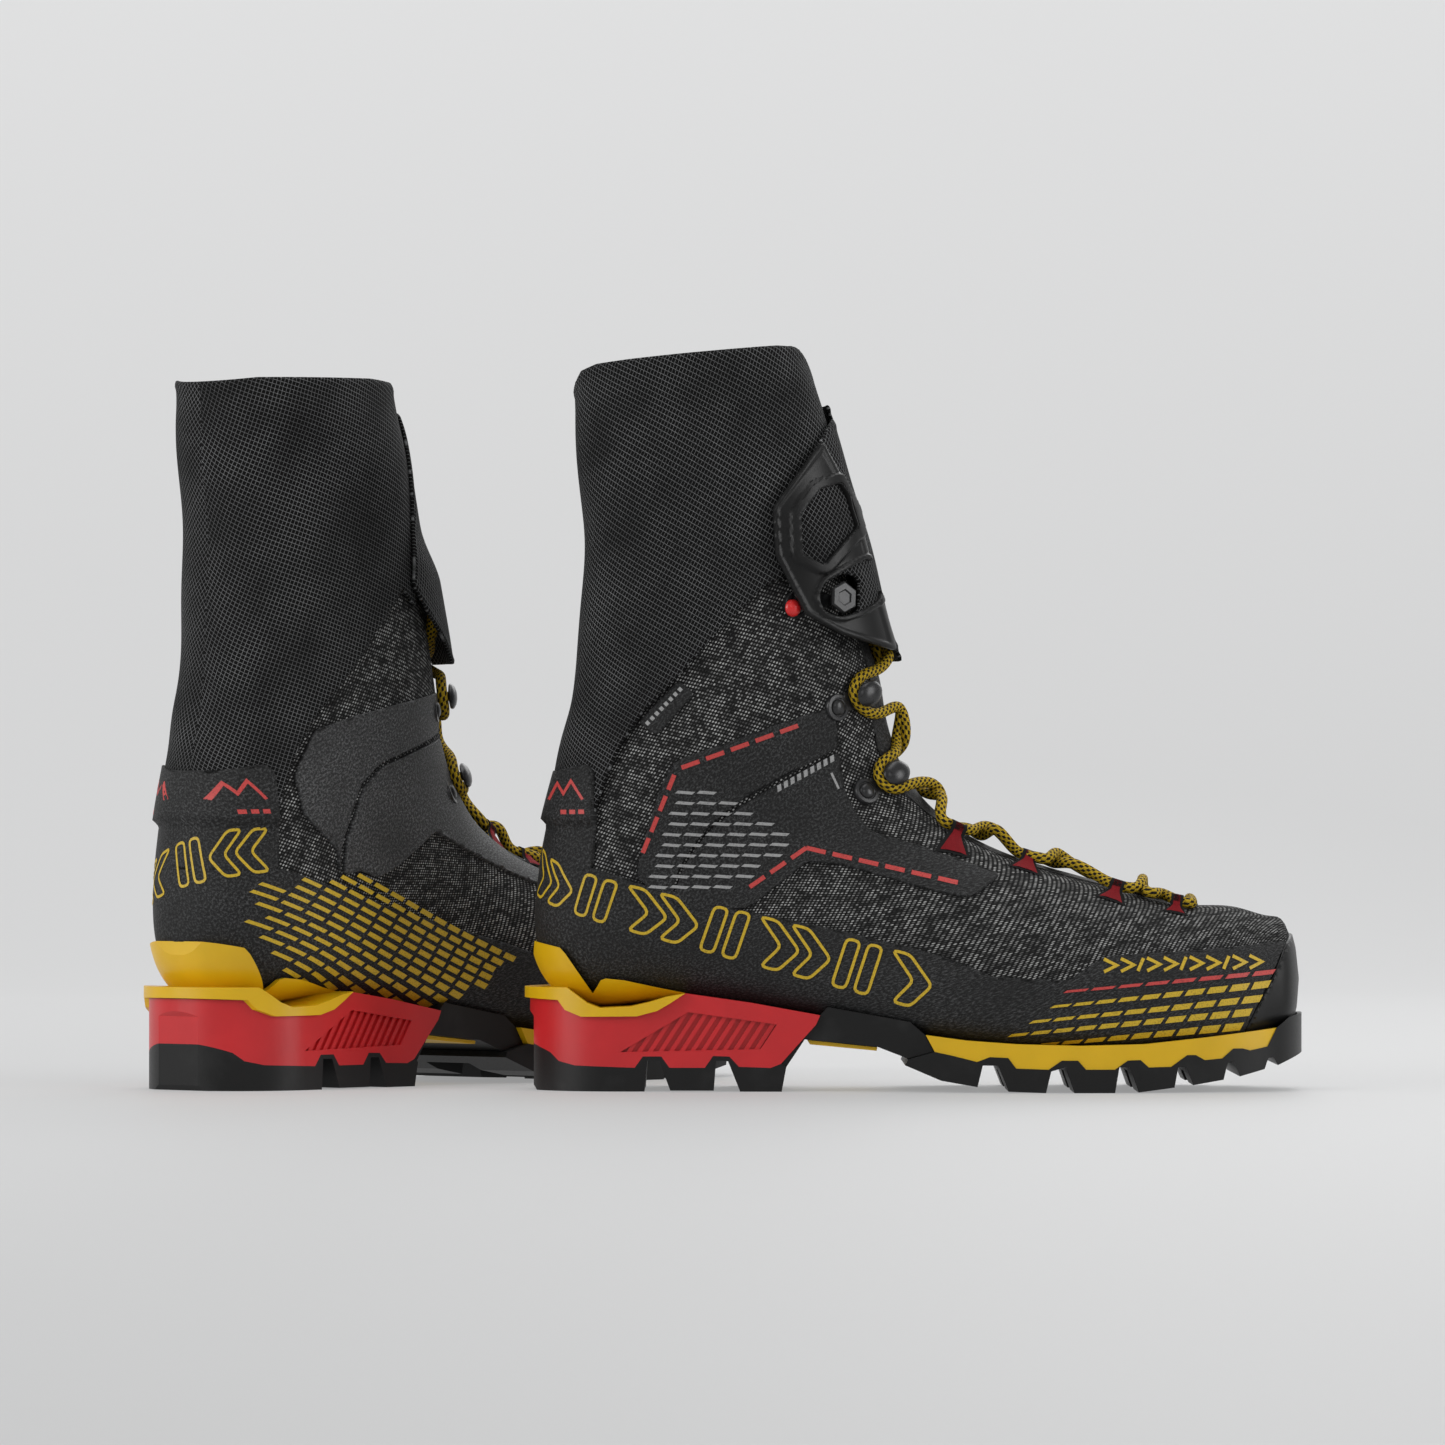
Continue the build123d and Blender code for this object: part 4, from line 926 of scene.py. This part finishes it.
webbing, backing = Mesh(), Mesh()
for i, at in enumerate(LOOPS):
    for side in (-1, 1):
        here, normal = on_side(at, side)
        ahead = np.array(on_side(LOOPS[max(i - 1, 0)], side)[0]) - np.array(on_side(LOOPS[min(i + 1, 3)], side)[0])
        place = frame_from(here, ahead, normal)
        down = -1 if place[0][1][2] > 0 else 1
        size, far_edge = (0.75, 0.9, 1.0, 1.0)[i], STRAP_LENGTHS[i]

        def strap(mesh, widths, heights, far):
            rows = []
            for t in np.linspace(0, 1, 9):
                row = []
                for k in np.linspace(-1, 1, 5):
                    y = 3.4 + t * (far - 3.4)
                    x = k * (widths[0] + (widths[1] - widths[0]) * t)
                    start = in_frame(place, (x, y * down, 30))
                    point, n = hit_down(start, place[0][2])
                    h = heights[0] + (heights[1] - heights[0]) * t**0.6 - 0.5 * abs(k) ** 6
                    row.append(np.array(point) + np.array(n) * h)
                rows.append(row)
            over = []
            for turn in np.linspace(-0.9, 1.35, 8):
                y, h = (LACE_R + 0.55) * math.sin(turn), 3.0 + (LACE_R + 0.55) * math.cos(turn)
                over.append([in_frame(place, (k * widths[0], y * down, h)) for k in np.linspace(-1, 1, 5)])
            grid = np.array(over + rows)
            if (np.cross(grid[4, 3] - grid[4, 1], grid[5, 2] - grid[3, 2]) @ place[0][2]) < 0:
                grid = grid[:, ::-1]
            mesh.grid(grid)

        strap(backing, (3.2 * size, 7.4 * size), (2.3, 0.55), far_edge + 1.2)
        strap(webbing, (1.8 * size, 5.2 * size), (3.2, 1.0), far_edge)
webbing.add("lace_loops", WEBBING, "ankle", slot="webbing_red", replaces=("lace_loops",))
backing.add("loop_backing", KNIT, "ankle", slot="knit_black")


def lathe(mesh, place, profile, around=28, shift=(0, 0), stretch=(1, 1), start=0.0):
    """A turned piece on a frame: its profile is (radius, height) from the rim up to the middle."""
    turn = np.linspace(0, 2 * math.pi, around + 1) + start
    ring = np.stack([stretch[0] * np.cos(turn), stretch[1] * np.sin(turn), 0 * turn], 1)
    rows = [in_frame(place, ring * r + (*shift, h)) for r, h in profile]
    mesh.grid(rows)


def hook_look(mesh, spots, side, hexagon=False):
    base, base_normal = on_side(spots[0], side)
    head, head_normal = on_side(spots[1], side)
    reach = (head - base).length
    place = frame_from(base, head - base, base_normal + head_normal)
    plate = [(5.4, -0.8), (5.4, 0.9), (5.1, 1.35), (3.9, 1.45), (3.6, 1.0), (3.3, 1.0)]
    lathe(mesh, place, plate + [(3.2, 1.6), (2.6, 2.2), (1.6, 2.6), (0.01, 2.75)])
    lathe(mesh, place, [(3.6, -0.8), (3.6, 0.8), (3.1, 1.2), (0.01, 1.2)], shift=(reach * 0.55, 0), stretch=(1.9, 1))
    lathe(mesh, place, [(1.9, 0), (1.9, 7.0)], shift=(reach, 0))
    if hexagon:
        cap = [(3.4, 6.6), (6.3, 7.0), (6.5, 8.2), (5.7, 8.9), (3.4, 9.0), (2.8, 8.4), (0.01, 8.4)]
        lathe(mesh, place, cap, around=6, shift=(reach, 0), start=0.3)
    else:
        cap = [(2.6, 5.4), (5.0, 5.8), (5.4, 6.4), (5.1, 7.2), (3.7, 8.1), (1.9, 8.6), (0.01, 8.7)]
        lathe(mesh, place, cap, shift=(reach + 0.3, 0.3), stretch=(1.18, 0.92))
    return place


hooks = Mesh()
for spots in (((134, 117), (143.3, 121.8)), ((122.5, 150), (131.5, 155))):
    for side in (-1, 1):
        hook_look(hooks, spots, side)
stud = Mesh()
TOP_HOOK = ((106.5, 190), (121, 192.5))
stud_place = hook_look(stud, TOP_HOOK, -1, hexagon=True)
hooks.add("hooks", METAL, "ankle", slot="hook_metal", replaces=("lower_hooks", "upper_hooks"), sharp=50)
stud.add("stud", METAL, "ankle", slot="hook_metal", sharp=30)
rivet = Mesh()
lathe(rivet, stud_place, [(3.4, 2.0), (3.3, 2.9), (2.6, 3.9), (1.4, 4.5), (0.01, 4.7)], shift=(-3.2, -1.0))
rivet.add("rivet", RIVET_RED, "ankle", slot="webbing_red")


# ---------------------------------------------------------------- printed marks
PRINT_STEP = 3.0  # the longest straight piece of ink
ON_PANEL, ON_TAB = 1.13, 3.95  # heights of the ink over the skin


def outer(p, lift):
    return np.array(on_side(p, -1, lift)[0])


def inner(p, lift):
    return np.array(on_side(p, 1, lift)[0])


def heel(p, lift):
    return np.array(round_heel(p[0], p[1], lift)[0])


def quad(mesh, a, b, c, d, place, lift):
    """A four-cornered patch of ink laid on the upper."""
    a, b, c, d = (np.array(p, float) for p in (a, b, c, d))
    nx = max(1, math.ceil(np.linalg.norm(b - a) / PRINT_STEP))
    ny = max(1, math.ceil(np.linalg.norm(d - a) / PRINT_STEP))
    across, up = np.linspace(0, 1, nx + 1), np.linspace(0, 1, ny + 1)
    rows = [[place((1 - t) * ((1 - s) * a + s * b) + t * ((1 - s) * d + s * c), lift) for s in across] for t in up]
    mesh.grid(face_out(np.array(rows)))


def face_out(rows):
    """The grid turned so that it faces away from the boot."""
    normal = np.cross(rows[0, 1] - rows[0, 0], rows[1, 0] - rows[0, 0])
    middle = rows[0, 0]
    away = middle - np.array((np.clip(middle[0], HEEL_CENTRE_X, TOE_CENTRE_X), 0, middle[2]))
    return rows if normal @ away > 0 else rows[:, ::-1]


def dash(mesh, a, b, width, place=outer, lift=ON_PANEL, slant=0.0):
    """A dash from a to b, its ends slanted."""
    a, b = np.array(a, float), np.array(b, float)
    along = (b - a) / np.linalg.norm(b - a)
    across = np.array([-along[1], along[0]]) * width / 2
    lean = along * slant
    quad(mesh, a - across - lean, b - across - lean, b + across + lean, a + across + lean, place, lift)


def dashed(mesh, points, length, gap, width, place=outer, lift=ON_PANEL, slant=0.0, grow=1.0):
    """Dashes along a broken line, breaking at its corners; they grow in width along each run."""
    for a, b in zip(points, points[1:]):
        a, b = np.array(a, float), np.array(b, float)
        run = np.linalg.norm(b - a)
        count = max(1, round((run + gap) / (length + gap)))
        pitch = (run + gap) / count
        for k in range(count):
            start, end = k * pitch / run, (k * pitch + pitch - gap) / run
            here = width * (1 + (grow - 1) * k / max(count - 1, 1))
            dash(mesh, a + (b - a) * start, a + (b - a) * end, here, place, lift, slant)


def stroke(mesh, points, width, place=outer, lift=ON_PANEL, closed=True):
    """A printed line along points, mitred at its corners."""
    pts = [np.array(p, float) for p in points]
    count = len(pts)
    rails = []
    for i, here in enumerate(pts):
        before = pts[i - 1] if closed or i else here
        after = pts[(i + 1) % count] if closed or i < count - 1 else here
        d0 = here - before if np.linalg.norm(here - before) > 1e-9 else after - here
        d1 = after - here if np.linalg.norm(after - here) > 1e-9 else d0
        n0, n1 = (np.array([-d[1], d[0]]) / np.linalg.norm(d) for d in (d0, d1))
        m = (n0 + n1) / max(np.linalg.norm(n0 + n1), 0.2)
        rails.append(m * width / 2 / max(m @ n0, 0.5))
    for i in range(count if closed else count - 1):
        j = (i + 1) % count
        quad(mesh, pts[i] - rails[i], pts[j] - rails[j], pts[j] + rails[j], pts[i] + rails[i], place, lift)


yellow, red, white = Mesh(), Mesh(), Mesh()
dashed(red, [(46.9, 93.2), (59.2, 123.6)], 7.2, 2.6, 1.7)
dashed(red, [(62, 126.4), (107, 142.9)], 8.0, 2.8, 1.7)
dashed(red, [(88.5, 79.8), (110.5, 94.9), (169.6, 81)], 8.0, 2.8, 1.7)
ROW_ENDS = (75, 79, 91, 97, 101, 102, 97, 92, 88, 81)
for k, end in enumerate(ROW_ENDS):
    row_z = 117 - 4.1 * k
    start = 60 - 1.3 * k + (1.2 if k % 2 else 0)
    for j in range(round((end - start + 2) / 8.4)):
        dash(white, (start + 8.4 * j, row_z), (start + 8.4 * j + 6.6, row_z - 0.5), 1.15, slant=0.6)

TOE_ROWS = (((205.9, 33.5), (291, 41.9)), ((197.8, 27.7), (287.5, 36.4)), ((189.7, 22.9), (283.4, 31.2)),
            ((201.3, 19.5), (279.9, 26)))
for a, b in TOE_ROWS:
    dashed(yellow, [a, b], 7.2, 1.8, 1.0, slant=0.9, grow=2.7)
dashed(red, [(211, 39.3), (293.0, 46.5)], 8.2, 2.0, 0.9, slant=0.8, grow=1.9)
mark_x = 226.0
for k in range(11):
    low_z, high_z = 46.8 + 0.02 * (mark_x - 226), 51.6 + 0.02 * (mark_x - 226)
    if k % 3 == 2:
        stroke(yellow, [(mark_x, low_z), (mark_x + 2.2, high_z)], 1.3, closed=False)
        mark_x += 3.6
    else:
        tip = (mark_x + 5.0, (low_z + high_z) / 2)
        stroke(yellow, [(mark_x, low_z), tip, (mark_x, high_z)], 1.3, closed=False)
        mark_x += 6.6

BAND_LOW = ((-63, 86.2), (-45, 84), (-20, 79.4), (9, 72), (88, 50.5), (167, 29.5))
BAND_HIGH = ((-63, 102.5), (-45, 102), (-20, 97.5), (9, 88.5), (67.5, 74.0), (88, 69.5), (167, 49.5))


def on_band(s, t):
    """A point of the heel band's row of shapes: s along it in millimetres, t from its lower to its upper edge."""
    low = np.interp(s, *zip(*BAND_LOW))
    high = np.interp(s, *zip(*BAND_HIGH))
    return (s, low + (high - low) * t)


CHEVRON = ((0.0, 0), (0.42, 0), (0.95, 0.5), (0.42, 1), (0.0, 1), (0.5, 0.5))
SLAT = ((0.0, 0), (0.33, 0), (0.7, 1), (0.37, 1))
s0 = -62.0
for k in range(17):
    shape = (CHEVRON, CHEVRON, SLAT, SLAT)[k % 4]
    stroke(yellow, rounded([on_band(s0 + 16.0 * a, b) for a, b in shape], 2.2, 3), 1.15, heel)
    s0 += (12.2, 15.6, 8.6, 15.2)[k % 4]
    if s0 > 154:
        break

ROW_SLOPE = 0.385  # how steeply the inner side's rows of dashes fall towards the toe
for k in range(14):
    row = 87.0 - 4.05 * k
    x_now = float(np.interp(row + 0.2 * k, (30, 42, 54, 62.8, 82.7, 87.4), (60, 30, 14, 6, 21, 58)))
    while x_now < 158:
        row_z = row - ROW_SLOPE * (x_now - 58)
        length = np.interp(x_now, (10, 60, 150), (9.0, 8.0, 5.2))
        thick = np.interp(x_now, (10, 60, 150), (1.3, 1.7, 2.5))
        right = np.interp(row_z, (30, 40, 50.8), (121, 134, 157))
        low = np.interp(x_now, (6, 13, 46, 88, 120), (58, 52, 42, 35.5, 30.5))
        top = np.interp(x_now, (6, 21, 37, 58, 91, 125, 157), (64, 83, 85.5, 88.2, 79.5, 67, 52))
        if low < row_z < top and x_now + length < right + 4:
            a, b = (x_now, row_z), (x_now + length, row_z - ROW_SLOPE * length)
            if b[1] > 30:
                dash(yellow, a, b, thick, inner, slant=0.5)
        x_now += length + 1.9

dashed(white, [(99.0, 118.2), (121.0, 130.4)], 1.6, 1.2, 2.4, lift=1.18, slant=0.5)
stroke(white, [(120.0, 124.4), (123.0, 118.0)], 0.9, lift=1.18, closed=False)
dashed(white, [(48.5, 143.2), (62.0, 157.4)], 1.5, 1.1, 1.6, lift=1.12)
for place_on in (outer, inner):
    zigzag = [(13.2, 113), (16.5, 119.5), (18.6, 115.5), (21.5, 120.5), (25.5, 113.5)]
    stroke(red, zigzag, 1.0, place_on, ON_TAB, closed=False)
    dashed(red, [(17.5, 108.4), (26.0, 108.8)], 2.1, 1.1, 1.7, place_on, ON_TAB)
for ink, name, material in ((yellow, "yellow", INK_YELLOW), (red, "red", INK_RED), (white, "white", INK_WHITE)):
    ink.add(f"{name}_print", material, "ankle", slot="overlay_black")

# ---------------------------------------------------------------- the inner side's overlays, in a lighter grey that is a painted highlight
UPPER_SUEDE = [(124.5, 157), (90, 152), (64.2, 147.0), (45.6, 141.3), (36, 123.2), (38.5, 107.5), (53.6, 93.9),
               (54.8, 84), (55.8, 96.2), (61.1, 109.7), (65.9, 119.9), (77.5, 128.6), (103.2, 135.5),
               (124, 141)]
LOWER_SUEDE = [(57, 84), (57.6, 96.2), (62.8, 109), (67.6, 118.9), (78.5, 127), (103.5, 133.8), (126, 138.6),
               (134, 129), (141.5, 117), (152.5, 104.5), (171.7, 92), (187, 85.5), (196, 84), (182, 78.5),
               (168.2, 82.5), (114.5, 101.2), (87.5, 87), (77, 83.2), (66, 86)]
# These panels are the black overlay; their lighter grey is a painted highlight.
for name, outline in (("inner_collar_panel", UPPER_SUEDE), ("inner_quarter_panel", LOWER_SUEDE)):
    panel(name, SUEDE_PAINTED_HIGHLIGHT, side_field(SKIN, None, rounded(outline, 2.5)), 1.35, replaces=())
